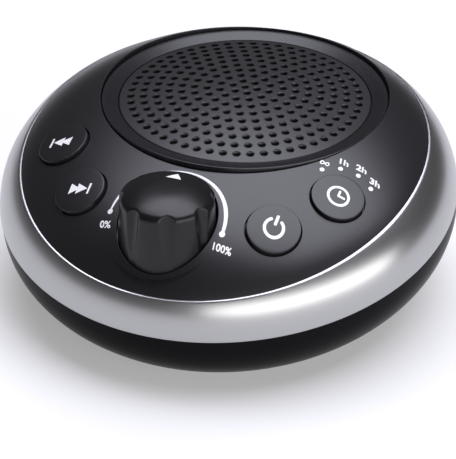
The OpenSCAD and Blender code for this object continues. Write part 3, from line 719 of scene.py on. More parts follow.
def finish(name, base, roughness, **fixed):
    """A material with its Principled shader; returns the material, its graph and the shader."""
    material = bpy.data.materials.new(name)
    material.use_nodes = True
    graph = Graph(material.node_tree, "ShaderNode")
    shader = material.node_tree.nodes["Principled BSDF"]
    shader.inputs["Base Color"].default_value = (*base, 1)
    shader.inputs["Roughness"].default_value = roughness
    for key, value in fixed.items():
        shader.inputs[key.replace("_", " ")].default_value = value
    return material, graph, shader


def feed(graph, shader, **values):
    for key, value in values.items():
        graph.tree.links.new(value.socket, shader.inputs[key.replace("_", " ")])


def object_place(graph):
    return graph.node("TexCoord", out=3)


def grain(graph, size, detail=2.0):
    """Even noise with a grain size in metres."""
    place = object_place(graph)
    return graph.node("TexNoise", None, Vector=place, Scale=1 / size, Detail=detail, Roughness=0.5)


def bump(graph, height, strength, distance):
    return graph.node("Bump", None, Strength=strength, Distance=distance, Height=height)


def moulded(name, base, roughness, spread=0.05, peel=0.12, fine=0.0006, **fixed):
    """Moulded plastic or paint: a fine texture, soft orange peel and slightly uneven gloss."""
    material, graph, shader = finish(name, base, roughness, **fixed)
    cloud, tooth, waves = grain(graph, 0.03, 3.0), grain(graph, fine), grain(graph, fine * 6, 1.0)
    dark, light = ((*[min(c * level, 1) for c in base], 1) for level in (0.85, 1.15))
    feed(
        graph,
        shader,
        Base_Color=graph.node("Mix", {"data_type": "RGBA"}, cloud, *[None] * 5, dark, light, out=2),
        Roughness=(cloud - 0.5) * spread * 2 + (tooth - 0.5) * spread + roughness,
        Normal=bump(graph, tooth * 0.4 + waves, peel, 0.00002),
    )
    return material


def satin_metal(name, base, roughness, stretch):
    """Satin metal: a very fine grain, drawn out along one way."""
    material, graph, shader = finish(name, base, roughness, Metallic=1.0)
    drawn = graph.node("VectorMath", {"operation": "MULTIPLY"}, object_place(graph), stretch)
    lines = graph.node("TexNoise", None, Vector=drawn, Scale=1.0, Detail=3.0, Roughness=0.6)
    cloud = grain(graph, 0.05)
    feed(
        graph,
        shader,
        Roughness=(lines - 0.5) * 0.08 + (cloud - 0.5) * 0.04 + roughness,
        Normal=bump(graph, lines, 0.02, 0.00001),
    )
    return material


def woven(name, base, pitch):
    """Plain weave: warp and weft threads that pass over each other."""
    material, graph, shader = finish(name, base, 0.9, Sheen_Weight=0.2)
    split = graph.node("SeparateXYZ", None, object_place(graph)).socket.node
    x, y = (Value(graph, split.outputs[k]) * (math.pi / pitch) for k in (0, 1))
    over = x.fn("SINE") * y.fn("SINE")
    warp, weft = (way.fn("COSINE").fn("ABSOLUTE") for way in (x, y))
    thread = warp * (0.5 + over * 0.5) + weft * (0.5 - over * 0.5)
    feed(graph, shader, Roughness=0.95 - thread * 0.15, Normal=bump(graph, thread, 0.6, 0.00008))
    return material


MADE = {}


def paint(name):
    """The finish of that name; all of them are made at the first call."""
    if not MADE:
        MADE.update(finishes(bpy.context.scene.machine_colours))
    return MADE[name]


def finishes(tone):
    return dict(
        cover=moulded("cover_satin_black", tone.cover, 0.33, 0.03, 0.08, Specular_IOR_Level=0.5),
        ring=moulded("ring_satin_black", tone.ring, 0.26, 0.03, 0.06, Specular_IOR_Level=0.42),
        grille=moulded("grille_black_paint", tone.grille, 0.36, 0.05, 0.2, 0.0004, Specular_IOR_Level=0.5),
        base=moulded("base_satin_black", tone.base, 0.3, 0.03, 0.06, Specular_IOR_Level=0.04),
        knob=moulded("knob_satin_black", tone.knob, 0.3, 0.02, 0.05, Specular_IOR_Level=0.36),
        button=moulded("button_satin_black", tone.cover, 0.33, 0.03, 0.1, Specular_IOR_Level=0.5),
        band=satin_metal("band_satin_silver", tone.band, 0.3, (900.0, 900.0, 2600.0)),
        ink=moulded("print_white", tone.ink, 0.5, 0.04, 0.1, 0.0003),
        lamp=moulded("lamp_white_lens", (0.92, 0.92, 0.92), 0.25, 0.02, 0.05, 0.0003),
        cloth=woven("screen_black_weave", (0.008, 0.008, 0.009), 0.0004),
        rubber=moulded("foot_black_rubber", (0.012, 0.012, 0.012), 0.8, 0.08, 0.5, 0.0005),
        steel=satin_metal("plated_steel", (0.62, 0.62, 0.63), 0.28, (3000.0, 3000.0, 3000.0)),
        board=moulded("green_solder_mask", (0.01, 0.11, 0.04), 0.35, 0.05, 0.2, 0.0008),
        black_part=moulded("black_moulding", (0.02, 0.02, 0.021), 0.45, 0.06, 0.3),
        ivory_part=moulded("ivory_moulding", (0.62, 0.56, 0.42), 0.5, 0.05, 0.2),
        ferrite=moulded("sintered_ferrite", (0.03, 0.03, 0.032), 0.65, 0.1, 0.6, 0.0005),
        pulp=moulded("cone_pulp", (0.03, 0.03, 0.032), 0.85, 0.08, 0.8, 0.0007),
        foam=moulded("gasket_foam", (0.02, 0.02, 0.02), 0.95, 0.04, 0.9, 0.0006),
        copper=satin_metal("enamelled_copper", (0.72, 0.32, 0.12), 0.3, (200.0, 200.0, 9000.0)),
        red_lead=moulded("red_lead_sleeve", (0.42, 0.01, 0.012), 0.5, 0.05, 0.2),
        black_lead=moulded("black_lead_sleeve", (0.012, 0.012, 0.012), 0.5, 0.05, 0.2),
    )


def group_tree(name, **inputs):
    """A geometry tree with inputs of given kinds; returns the tree's graph and the inputs' values."""
    tree = bpy.data.node_groups.new(name, "GeometryNodeTree")
    for label, kind in inputs.items():
        tree.interface.new_socket(label.replace("_", " "), in_out="INPUT", socket_type="NodeSocket" + kind)
    tree.interface.new_socket("Geometry", in_out="OUTPUT", socket_type="NodeSocketGeometry")
    graph = Graph(tree, "GeometryNode")
    group = tree.nodes.new("NodeGroupInput")
    return graph, [Value(graph, group.outputs[k]) for k in range(len(inputs))]


def realized(graph, points, part):
    """Copies of a part's object on points, made real."""
    copies = graph.node("InstanceOnPoints", None, points, None, graph.node("ObjectInfo", None, part, out=4))
    return graph.node("RealizeInstances", None, copies)


def perforation_tree():
    """Cuts a rounded hole at each place of a pattern of rings, six more holes on each ring."""
    g, (geometry, part, rings, pitch, radius, crown, middle, material) = group_tree(
        "Perforations",
        Geometry="Geometry",
        Part="Object",
        Rings="Int",
        Pitch="Float",
        Sheet_Radius="Float",
        Centre_Height="Float",
        Centre_Place="Float",
        Material="Material",
    )
    index = g.node("InputIndex")
    ring = (((index * 12 + 9).fn("SQRT") - 3) / 6 - 0.0001).fn("CEIL").fn("MAXIMUM", 0.0)
    turn = (index - 1 - ring * (ring - 1) * 3) / ring.fn("MAXIMUM", 1.0) * (math.pi / 3)
    reach = ring * pitch
    height = (radius * radius - reach * reach).fn("SQRT") - radius + crown
    place = g.node("CombineXYZ", None, reach * turn.fn("COSINE"), reach * turn.fn("SINE") + middle, height)
    points = g.node("Points", None, rings * (rings + 1) * 3 + 1, place)
    solid = realized(g, points, part)
    cut = g.node("MeshBoolean", {"operation": "DIFFERENCE", "solver": "EXACT"}, geometry, solid)
    g.end("NodeGroupOutput", g.node("SetMaterial", None, cut, None, material))
    return g.tree


def copies_tree():
    """Sets a copy of a turned piece on each point of a mesh."""
    g, (places, part, material) = group_tree("Feet", Places="Geometry", Part="Object", Material="Material")
    g.end("NodeGroupOutput", g.node("SetMaterial", None, realized(g, places, part), None, material))
    return g.tree


# ---------------------------------------------------------------- operators


class MachineOperator:
    bl_options = {"REGISTER", "UNDO"}


# Lip, depth and number of spokes of each kind of hole
RING_SEAT = (0.3, 2.4, 256)
KNOB_WELL = (0.15, 3.0, 160)
BUTTON_WELL = (0.08, 3.0, 128)
LAMP_HOLE = (0.06, 2.4, 24, (0.25,))
SOCKET_HOLE = (0.3, 5.0, 96)
FOOT_HOLE = (0.2, -2.0, 48)
SCREW_HOLE = (0.15, -8.0, 32)


class SOUND_OT_cover(MachineOperator, bpy.types.Operator):
    """The domed cover with its seats for the grille, the knob, the buttons and the lamps"""

    bl_idname = "sound_machine.cover"
    bl_label = "Cover"

    edge_spokes, edge_lip, edge_gap = 360, 0.1, 0.05
    # Wall, bore, depth below the knob and drop of the rim below the cover
    cup_spokes, cup_wall, cup_bore, cup_depth, cup_drop = 96, 1.6, 3.55, 0.6, 1.5

    def execute(self, context):
        body, top = settings(context)
        pebble, inset = Pebble(body), body.reveal / MM
        skin, wall = Skin(body.wall / MM), BodyWall(pebble, inset)
        chart = skin.chart(wall, plan_xy)
        self.edge(skin, chart, pebble, inset)
        knob = upright(top.knob_x / MM, top.knob_y / MM)
        well = (top.knob_radius + top.knob_gap) / MM
        chart.hole(upright(0, top.grille_y / MM), (top.ring_radius + top.ring_gap) / MM, *RING_SEAT)
        chart.hole(knob, well, *KNOB_WELL)
        for _, _, place in button_places(pebble):
            chart.hole(place, (top.button_radius + top.button_gap) / MM, *BUTTON_WELL)
        for place in lamp_places(pebble):
            chart.hole(place, top.lamp_radius / MM + 0.05, *LAMP_HOLE)
        grid = staggered((-66, -68), (66, 66), (1.5, 1.3))
        chart.fill(grid, lambda plan: wall.hit(OVERHEAD, plan), 0.75)
        place_piece(skin.mesh("cover"), "cover", "housing", "cover_black", paint("cover"), "top_cover")
        self.cup(wall, knob, well)
        return {"FINISHED"}

    def edge(self, skin, chart, pebble, inset):
        """The cover's rounded edge along the band."""
        angles, lip = turns(self.edge_spokes), self.edge_lip
        edge = pebble.edge_r(angles, inset, self.edge_gap)
        ways = np.stack([np.sin(angles), -np.cos(angles), 0 * angles], 1) @ pebble.turn.T

        def row(r, bend):
            p = pebble.ring(angles, r, pebble.dome_z(r, inset))
            n = chart.wall.normal(p)
            out = unit(ways - n * (ways * n).sum(1, keepdims=True))
            drop, tilted = n * lip * (1 - math.cos(bend)), unit(n * math.cos(bend) + out * math.sin(bend))
            return skin.row(p - drop, tilted), plan_xy(p)

        chart.border(*row(edge, LIP_STEPS[0]))
        for bend in LIP_STEPS[1:]:
            chart.tie(*row(edge - lip * (1 - math.sin(bend)), bend))
        for more in (0.6, 1.4):
            chart.tie(*row(edge - lip - more, 0.0))

    def cup(self, wall, knob, well):
        """The cup that the knob turns in."""
        inner, foot, bore = well + 0.02, KNOB_LOW.z / MM - self.cup_depth, self.cup_bore
        outer, under = inner + self.cup_wall, foot - self.cup_wall
        tops = [wall.hit(knob, circle(radius, self.cup_spokes))[:, 2] for radius in (outer, inner)]
        rims = [z - self.cup_drop for z in tops]
        rows = [(bore, under), (outer, under), (outer, rims[0]), (inner, rims[1])]
        rows += [(inner, foot + 0.3), (inner - 0.3, foot), (bore, foot)]
        mesh = lathe(rows, self.cup_spokes, upright(*knob[0][:2], 0.0), "knob_cup", caps=False)
        place_piece(mesh, "knob_cup", "housing", "cover_black", paint("cover"))


class SOUND_OT_band(MachineOperator, bpy.types.Operator):
    """The satin silver band, with a saddle-shaped upper edge"""

    bl_idname = "sound_machine.band"
    bl_label = "Band"

    spokes, edge_rows, side_rows = 480, 9, 22

    def execute(self, context):
        body, _ = settings(context)
        pebble = Pebble(body)
        seam, wall, edge = body.seam / MM, body.band_wall / MM, body.band_edge / MM
        angles = turns(self.spokes)
        outer, inner = pebble.edge_r(angles, 0.0), pebble.edge_r(angles, wall)
        crest, level = pebble.dome_z(outer), np.ones(self.spokes)
        rows = [(pebble.outline_r(seam * level, wall), seam * level)]
        for t in np.linspace(0, 1, self.edge_rows):
            z = (seam + edge * t**2) * level
            rows.append((pebble.outline_r(z) - edge * (1 - t) ** 2, z))
        for t in np.linspace(0, 1, self.side_rows)[1:-1]:
            z = seam + edge + (crest - seam - 2 * edge) * t
            rows.append((pebble.outline_r(z), z))
        for t in np.linspace(0, 1, self.edge_rows):
            z = crest - edge * (1 - t) ** 2
            r = pebble.outline_r(z) - edge * t**2
            rows.append((r, np.minimum(z, pebble.band_z(-r * np.cos(angles)))))
        rows.append((inner, pebble.dome_z(inner, wall)))
        made = Draft()
        loops = [made.add(pebble.ring(angles, r, z)) for r, z in rows]
        for low, high in zip(loops, loops[1:] + loops[:1]):
            made.strip(low, high)
        place_piece(made.mesh("band", 28.0), "band", "housing", "band_silver", paint("band"), "trim_band")
        return {"FINISHED"}


class SOUND_OT_base(MachineOperator, bpy.types.Operator):
    """The bowl base, with its flat floor, the holes for feet and screws and the socket's pocket"""

    bl_idname = "sound_machine.base"
    bl_label = "Base"

    columns, rows = 301, 26
    socket_place, socket_radius, foot_radius, screw_radius = (0, 75.0, 24.0), 6.5, 5.1, 3.1

    def execute(self, context):
        body, _ = settings(context)
        pebble, inset, floor = Pebble(body), body.reveal / MM, body.floor / MM
        heights = np.linspace(body.seam / MM, -(pebble.b - inset) * 0.995, 900)
        radii = pebble.outline_r(heights, inset)
        down = np.concatenate([[0], np.cumsum(np.hypot(np.diff(heights), np.diff(radii)))])

        def to_plan(p):
            q = pebble.local(p)
            across = np.arctan2(q[:, 0], q[:, 1]) * pebble.r
            return np.stack([across, np.interp(-q[:, 2], -heights, down)], 1)

        def to_point(plan):
            z = np.interp(plan[:, 1], down, heights)
            return pebble.ring(math.pi - plan[:, 0] / pebble.r, pebble.outline_r(z, inset), z)

        # The side's plan is centred on the back and cut open at the front
        n, rows = self.columns, self.rows
        across = np.linspace(-math.pi, math.pi, n) * pebble.r

        def over_floor(plan_y):
            return to_point(np.stack([across, plan_y], 1))[:, 2] > floor

        low, _ = halve(np.zeros(n), np.full(n, down[-1]), over_floor)
        grid = [np.stack([across, low * k / rows], 1) for k in range(rows + 1)]
        down_right, up_left = [g[-1] for g in grid[1:-1]], [g[0] for g in grid[-2:0:-1]]
        loop = np.concatenate([grid[0], down_right, grid[-1][::-1], up_left])
        skin = Skin(body.wall / MM)
        side = skin.chart(BodyWall(pebble, inset), to_plan)
        points = to_point(loop)
        ids = skin.row(points, side.wall.normal(points))
        side.border(ids, loop)
        last, turn = n - 1, rows - 1
        right = [last, *range(n, n + turn), n + turn]
        left = [0, *range(len(loop) - 1, len(loop) - 1 - turn, -1), 2 * n + turn - 1]
        skin.same.update(zip(right, left))
        facing_back = np.stack([(-1.0, 0, 0), (0, 0, 1.0), (0, 1.0, 0)], 1)
        side.hole((np.array(self.socket_place), facing_back), self.socket_radius, *SOCKET_HOLE)
        side.fill(np.concatenate([g[1:-1] for g in grid[1:-1]]), to_point, 0.45)
        flat = skin.chart(FlatWall(floor), plan_xy)
        rim = ids[n + turn + 1 : 2 * n + turn]
        flat.border(rim, np.concatenate(skin.points)[rim][:, :2])
        for spot in foot_spots():
            flat.hole(upright(*spot), self.foot_radius, *FOOT_HOLE)
        for spot in screw_spots():
            flat.hole(upright(*spot), self.screw_radius, *SCREW_HOLE)
        level = staggered((-48, -56), (49, 34), (3.0, 2.6))
        flat.fill(level, lambda q: np.column_stack([q, np.full(len(q), floor)]), 1.2)
        mesh = skin.mesh("base", flat=(flat,))
        place_piece(mesh, "base", "housing", "base_black", paint("base"), "base_shell")
        return {"FINISHED"}


FOOT_RADIUS = 5.0


def foot_spots():
    """Plan places of the four feet, from the box round them."""
    low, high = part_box("rubber_feet")
    x, middle = high.x / MM - FOOT_RADIUS, (low.y + high.y) / 2 / MM
    reach = (high.y - low.y) / 2 / MM - FOOT_RADIUS
    return [(a * x, middle + b * reach) for a in (-1, 1) for b in (-1, 1)]


def screw_spots():
    """Plan places of the four base screws, from their own mesh."""
    co = np.array([v.co for v in NODES["base_screws"].data.vertices]) / MM
    spots = []
    for x in (-1, 1):
        for back in (False, True):
            part = co[(co[:, 0] * x > 0) & ((co[:, 1] > co[:, 1].mean()) == back)]
            spots.append(tuple((part.min(0) + part.max(0))[:2] / 2))
    return spots


class SOUND_OT_ring(MachineOperator, bpy.types.Operator):
    """The bevelled ring round the grille"""

    bl_idname = "sound_machine.ring"
    bl_label = "Grille ring"

    ledge, round_edge, land = 2.2, 0.35, 1.2

    def execute(self, context):
        _, top = settings(context)
        r, inner = top.ring_radius / MM, top.grille_radius / MM + 0.2
        high, low = top.ring_top / MM, top.grille_edge / MM
        seat, foot, sheet = high - 2.0, high - 3.7, top.grille_sheet / MM
        edge, bevel_r, bevel_z = self.round_edge, r - self.land, high - 0.1
        rows = [(inner - self.ledge, foot), (inner + 0.5, foot), (inner + 0.5, seat)]
        rows += [(r - 0.15, seat), (r, seat + 0.15), *arc((r - edge, high - edge), edge, 0, 84, 9)]
        rows += [(r - 0.6, high - 0.02), (bevel_r, bevel_z)]
        for t in np.linspace(0, 1, 9)[1:]:
            rows.append((bevel_r - (r - 1.35 - inner) * t, bevel_z - (bevel_z - low) * t))
        rows += [(inner + 0.05, low - 0.03), (inner, low - 0.12)]
        rows += [(inner, low - sheet), (inner - self.ledge, low - sheet)]
        place = upright(0, top.grille_y / MM, 0.0)
        mesh = lathe(rows, 288, place, "grille_ring", caps=False, angle=30.0)
        place_piece(mesh, "grille_ring", "housing", "bezel_black", paint("ring"), "grille_bezel")
        return {"FINISHED"}


def ball_radius(top):
    """Radius of the ball that the domed grille is a part of."""
    r, rise = top.grille_radius / MM, top.grille_rise / MM
    return (r * r + rise * rise) / (2 * rise)


class SOUND_OT_grille(MachineOperator, bpy.types.Operator):
    """The domed grille with its rings of perforations"""

    bl_idname = "sound_machine.grille"
    bl_label = "Grille"

    def execute(self, context):
        _, top = settings(context)
        r, rise, sheet = top.grille_radius / MM, top.grille_rise / MM, top.grille_sheet / MM
        low, ball = top.grille_edge / MM, ball_radius(top)

        def dome(radius, drop=0.0):
            return low + rise - ball + math.sqrt((ball - drop) ** 2 - radius**2)

        ledge = r - 2.0
        rows = [(t, dome(t, sheet)) for t in np.linspace(0, ledge, 12)]
        rows += [(ledge, low - sheet), (r - 0.2, low - sheet), (r, low - sheet + 0.2), (r, low - 0.2)]
        rows += [(t, dome(t)) for t in np.linspace(r - 0.25, 0, 24)]
        sheet_mesh = lathe(rows, 144, upright(0, top.grille_y / MM, 0.0), "grille_sheet")
        values = {
            "Rings": top.hole_rings,
            "Pitch": top.hole_pitch,
            "Sheet Radius": ball * MM,
            "Centre Height": (low + rise) * MM,
            "Centre Place": top.grille_y,
            "Material": paint("grille"),
        }
        mesh = baked(sheet_mesh, self.cutter(top), perforation_tree(), values, "grille")
        self.round_off(mesh, ball, low + rise - ball, top.grille_y / MM)
        place_piece(mesh, "grille", "housing", "grille_black", paint("grille"), "speaker_grille")
        return {"FINISHED"}

    def cutter(self, top):
        """One hole with its lip, standing on the origin."""
        lip, hole = top.hole_lip / MM, top.hole_radius / MM
        bends = np.radians([0, 30, 55, 78])
        rows = [(0, -3.0), (hole, -3.0)]
        rows += [(hole + lip * (1 - math.cos(a)), lip * (math.sin(a) - 1)) for a in bends]
        rows += [(hole + lip * 1.05, 0.03), (hole + lip * 1.05, 1.0), (0, 1.0)]
        return lathe(rows, 20, upright(0, 0, 0.0), "hole_cutter")

    def round_off(self, mesh, ball, centre_z, centre_y):
        """Gives the sheet's upper side the normals of its dome."""
        smooth(mesh, 50)
        co = np.zeros(len(mesh.vertices) * 3)
        mesh.vertices.foreach_get("co", co)
        away = co.reshape(-1, 3) / MM - [0, centre_y, centre_z]
        reach = np.linalg.norm(away, axis=1)
        way = np.zeros(len(mesh.polygons) * 3)
        mesh.polygons.foreach_get("normal", way)
        faces_up = way.reshape(-1, 3)[:, 2] > 0.97
        on = np.abs(reach - ball) < 0.02
        give_normals(mesh, np.where(on[:, None], away / reach[:, None], 0), faces_up)


class SOUND_OT_screen(MachineOperator, bpy.types.Operator):
    """The woven screen stretched behind the grille"""

    bl_idname = "sound_machine.screen"
    bl_label = "Dust screen"

    thick = 0.3

    def execute(self, context):
        _, top = settings(context)
        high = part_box("dust_screen")[1]
        ball, edge, crown = ball_radius(top), high.x / MM, high.z / MM - 0.05
        upper = [(t, crown - ball + math.sqrt(ball**2 - t**2)) for t in np.linspace(0, edge, 20)]
        rows = [(t, z - self.thick) for t, z in upper] + upper[::-1]
        mesh = lathe(rows, 128, upright(0, top.grille_y / MM, 0.0), "dust_screen_cloth")
        finish, name = paint("cloth"), "dust_screen_cloth"
        piece = place_piece(mesh, name, "housing", "screen_cloth", finish, "dust_screen")
        size, area = round(2 * edge * MM, 4), round(math.pi * (edge * MM) ** 2, 6)
        return {"FINISHED"}


class SOUND_OT_knob(MachineOperator, bpy.types.Operator):
    """The fluted volume knob and its printed pointer"""

    bl_idname = "sound_machine.knob"
    bl_label = "Volume knob"

    rim, shoulder_end, spokes_per_flute = 0.4, 62, 48
    pointer = ((-2.65, -40.1), (1.7, -40.1), (-0.45, -36.8))
    # Radius and highest place that a flute draws the rows to, and its deepest and least cut
    pull_r, pull_z, deepest, least = 4.5, 10.0, 6.0, 0.002

    def execute(self, context):
        _, top = settings(context)
        r, sh, crown, slim = (v / MM for v in (top.knob_radius, top.shoulder, top.crown, top.knob_taper))
        foot, rim = KNOB_LOW.z / MM, self.rim
        tall = KNOB_HIGH.z / MM - crown - 0.15 - foot
        rows = list(arc((r - rim, rim), rim, -80, 0, 5))
        rows += [(r - slim * t**2, rim + (tall - sh - rim) * t) for t in np.linspace(0, 1, 48)[1:]]
        rows += list(arc((r - slim - sh, tall - sh), sh, 0, self.shoulder_end, 16)[1:])
        edge, brow = rows[-1]
        shares = (*np.linspace(1, 0.7, 16)[1:], *np.linspace(0.7, 0, 8)[1:-1])
        rows = np.array(rows + [(edge * k, brow + crown * (1 - k**3)) for k in shares])
        made = Draft()
        origin = np.array([top.knob_x / MM, top.knob_y / MM, foot])
        loops = [made.add(origin + row) for row in self.fluted(rows, top, tall - sh)]
        for low, high in zip(loops, loops[1:]):
            made.strip(low, high)
        top_z = brow + crown
        made.fan(loops[0], made.add(origin)[0], flip=True)
        made.fan(loops[-1], made.add(origin + [0, 0, top_z])[0])
        place_piece(made.mesh("knob", 60.0), "knob", "knob", "knob_black", paint("knob"), "volume_knob")

        def height(xy):
            k = np.minimum(np.hypot(*(xy - origin[:2]).T) / edge, 1)
            return foot + top_z - crown * k**3

        ink = Print(height, top.print_lift / MM)
        ink.patch(self.pointer)
        place_piece(ink.mesh("knob_pointer"), "knob_pointer", "knob", "lamp_white", paint("ink"))
        return {"FINISHED"}

    def fluted(self, rows, top, shoulder_z):
        """Points of the turned rows, drawn in where a leaning flute cuts them."""
        # Each row is drawn in towards the middle, level on the wall and down from the top
        pull = np.stack([np.full(len(rows), self.pull_r), np.minimum(rows[:, 1], self.pull_z)], 1)
        ways = unit(rows - pull)
        spokes = circle(1.0, self.spokes_per_flute * top.flutes)

        def spun(rows):
            around = rows[:, None, :1] * spokes[None]
            return np.concatenate([around, np.broadcast_to(rows[:, 1:, None], (*around.shape[:2], 1))], 2)

        start, way = spun(rows), spun(ways)
        r, flute, soft, low = (
            v / MM for v in (top.knob_radius, top.flute_radius, top.flute_edge, top.flute_foot)
        )
        lean = top.flute_depth / MM / (shoulder_z - low)
        step = 2 * math.pi / top.flutes
        phase = -math.pi / 2 + step / 2

        def free(p):
            """How far points are from the nearest flute's cutter, less than zero inside it."""
            a = np.arctan2(p[..., 1], p[..., 0]) - phase
            a = a - step * np.round(a / step)
            flat = np.hypot(p[..., 0], p[..., 1])
            x, y = flat * np.cos(a) - (r + flute - lean * (p[..., 2] - low)), flat * np.sin(a)
            return np.hypot(x, y) - flute

        def outside(depth):
            cut = -free(start - way * depth[..., None])
            blend = np.maximum(soft - np.abs(-depth - cut), 0) / soft
            return np.maximum(-depth, cut) + blend**2 * soft / 4 > 0

        deep = np.full(start.shape[:2], self.deepest)
        depth, _ = halve(np.zeros(start.shape[:2]), deep, outside, 26)
        # Only rows close to a flute move; the rest stay on the turned outline
        return start - way * np.where(depth > self.least, depth, 0)[..., None]


class SOUND_OT_buttons(MachineOperator, bpy.types.Operator):
    """The four round buttons and the symbols printed on them"""

    bl_idname = "sound_machine.buttons"
    bl_label = "Buttons"

    spokes = 96
    # Radius and height of the rows below the face
    skirt = ((8.45, -4.8), (8.45, -5.8), (1.8, -5.8), (1.8, -7.4), (0, -7.4))

    def execute(self, context):
        body, top = settings(context)
        pebble, proud = Pebble(body), top.button_proud / MM
        for name, side, place in button_places(pebble):
            mesh = self.cap(pebble, top, place)
            if side < 0:
                mesh.mirror()
            mesh = mesh.mesh(name + "_cap", 40.0)
            place_piece(mesh, name + "_cap", name, "button_black", paint("button"), name + "_button")
            ink = Print(lambda xy: pebble.hit(OVERHEAD, xy, -proud)[:, 2], top.print_lift / MM)
            SYMBOLS[name](ink, pebble.hit(place, (0, 0), -proud)[0, :2])
            place_piece(ink.mesh(name + "_symbol"), name + "_symbol", name, "lamp_white", paint("ink"))
        return {"FINISHED"}

    def cap(self, pebble, top, place):
        """A cap whose face follows the dome, with a skirt and a stem below."""
        r, edge, proud = top.button_radius / MM, top.button_edge / MM, top.button_proud / MM
        (origin, axes), spokes, made = place, circle(1.0, self.spokes), Draft()
        loops = [made.add(pebble.hit(place, (0, 0), -proud))]
        bends = np.radians((15, 32, 50, 70, 90))
        face = [(t, 0.0) for t in np.linspace(0, r - edge, 12)[1:]]
        face += [(r - edge + edge * math.sin(a), edge * (1 - math.cos(a))) for a in bends]
        for radius, drop in face:
            p = pebble.hit(place, spokes * radius, -proud)
            loops.append(made.add(p - axes[:, 2] * drop))
        for radius, z in ((r, self.skirt[0][1]), *self.skirt):
            at = spokes * radius if radius else np.zeros((1, 2))
            loops.append(made.add(origin + at @ axes[:, :2].T + axes[:, 2] * z))
        for upper, lower in zip(loops, loops[1:]):
            made.join(lower, upper)
        return made


class Print:
    """White marks laid on a surface that is seen from above."""

    def __init__(self, height, lift, sunk=0.08):
        self.height, self.lift, self.sunk = height, lift, sunk
        self.draft = Draft()

    def lay(self, xy, faces):
        """Lays flat faces on the surface, each turned to face up, and closes them below."""
        xy = np.asarray(xy, float)
        z = self.height(xy)
        top = self.draft.add(np.column_stack([xy, z + self.lift])).tolist()
        low = self.draft.add(np.column_stack([xy, z - self.sunk])).tolist()
        turned = []
        for f in faces:
            q = xy[list(f)]
            area = (q[:, 0] * np.roll(q[:, 1], -1) - np.roll(q[:, 0], -1) * q[:, 1]).sum()
            turned.append(tuple(f) if area > 0 else tuple(f)[::-1])
        sides = {(f[i], f[(i + 1) % len(f)]) for f in turned for i in range(len(f))}
        self.draft.faces += [tuple(top[v] for v in f) for f in turned]
        self.draft.faces += [tuple(low[v] for v in f[::-1]) for f in turned]
        self.draft.faces += [(top[v], top[u], low[u], low[v]) for u, v in sides if (v, u) not in sides]

    def stroke(self, line, widths, caps=True):
        """A drawn line of changing width, with round ends."""
        line = np.asarray(line, float)
        widths = np.broadcast_to(widths, (len(line),)) / 2
        way = unit(np.gradient(line, axis=0))
        left = np.stack([-way[:, 1], way[:, 0]], 1) * widths[:, None]
        n = len(line)
        faces = [(i, i + 1, n + i + 1, n + i) for i in range(n - 1)]
        points = [line + left, line - left]
        if caps:
            turn = np.linspace(-math.pi / 2, math.pi / 2, 9)[1:-1]
            for end, sign in ((0, -1), (n - 1, 1)):
                first = sum(len(p) for p in points)
                ahead = way[end] * sign * widths[end]
                points.append(line[end] + np.outer(np.cos(turn), ahead) + np.outer(np.sin(turn), left[end]))
                faces.append((n + end, *range(first, first + len(turn)), end))
        self.lay(np.concatenate(points), faces)

    def patch(self, corners):
        """A filled outline, split finely enough to follow the surface."""
        corners = np.asarray(corners, float)
        sides = zip(corners, np.roll(corners, -1, 0))
        parts = [np.linspace(a, b, max(2, int(np.hypot(*(b - a)) / 0.7) + 1))[:-1] for a, b in sides]
        loop = np.concatenate(parts)
        edges = [(i, (i + 1) % len(loop)) for i in range(len(loop))]
        points, _, tris, _, _, _ = delaunay_2d_cdt([Vector(p) for p in loop], edges, [], 1, 1e-7, False)
        self.lay(np.array([tuple(p) for p in points]), tris)

    def disc(self, centre, radius, steps=28):
        points = np.concatenate([[centre], np.asarray(centre) + circle(radius, steps)])
        self.lay(points, [(0, 1 + i, 1 + (i + 1) % steps) for i in range(steps)])

    def text(self, words, centre, tall, wide, weight, lean):
        """Numbers in plain sans type, centred on a place."""
        curve = bpy.data.curves.new("words", "FONT")
        curve.body, curve.size, curve.resolution_u, curve.offset = words, 1.0, 4, weight
        holder = link(bpy.data.objects.new("words", curve))
        bpy.context.view_layer.update()
        mesh = bpy.data.meshes.new_from_object(holder.evaluated_get(bpy.context.evaluated_depsgraph_get()))
        edit = bmesh.new()
        edit.from_mesh(mesh)
        bmesh.ops.remove_doubles(edit, verts=edit.verts, dist=1e-5)
        xy = np.array([v.co[:2] for v in edit.verts])
        faces = [tuple(v.index for v in f.verts) for f in edit.faces]
        edit.free()
        bpy.data.objects.remove(holder)
        low, high = xy.min(0), xy.max(0)
        scale = tall / (high[1] - low[1])
        shear = np.array([[scale * wide, 0], [scale * lean, scale]])
        self.lay((xy - (low + high) / 2) @ shear + centre, faces)

    def mesh(self, name):
        return self.draft.mesh(name, 40.0)


def power_symbol(ink, centre):
    ink.stroke(arc(centre, 2.55, 125, 415, 56), 0.85)
    ink.stroke([centre + (0, y) for y in (1.1, 2.2, 3.3)], 0.85)


def clock_symbol(ink, centre):
    ink.stroke(arc(centre, 2.75, 0, 359.9, 60), 0.72, caps=False)
    ink.stroke([centre + (0, y) for y in (1.5, 0.8, 0.0)], 0.62)
    ink.stroke([centre + (x, 0.0) for x in (0.0, 0.8, 1.6)], 0.62)


def skip_symbol(ink, centre, way):
    """Two arrow heads and a bar; way is 1 for ahead and -1 for back."""
    for tip in (0.35, 2.5):
        back = tip - 3.0
        ink.patch([centre + (way * back, -1.55), centre + (way * tip, 0), centre + (way * back, 1.55)])
    ink.stroke([centre + (way * 3.05, y) for y in (-1.6, 0, 1.6)], 0.6, caps=False)


SYMBOLS = {
    "power": power_symbol,
    "timer": clock_symbol,
    "previous": lambda ink, centre: skip_symbol(ink, centre, -1),
    "next": lambda ink, centre: skip_symbol(ink, centre, 1),
}


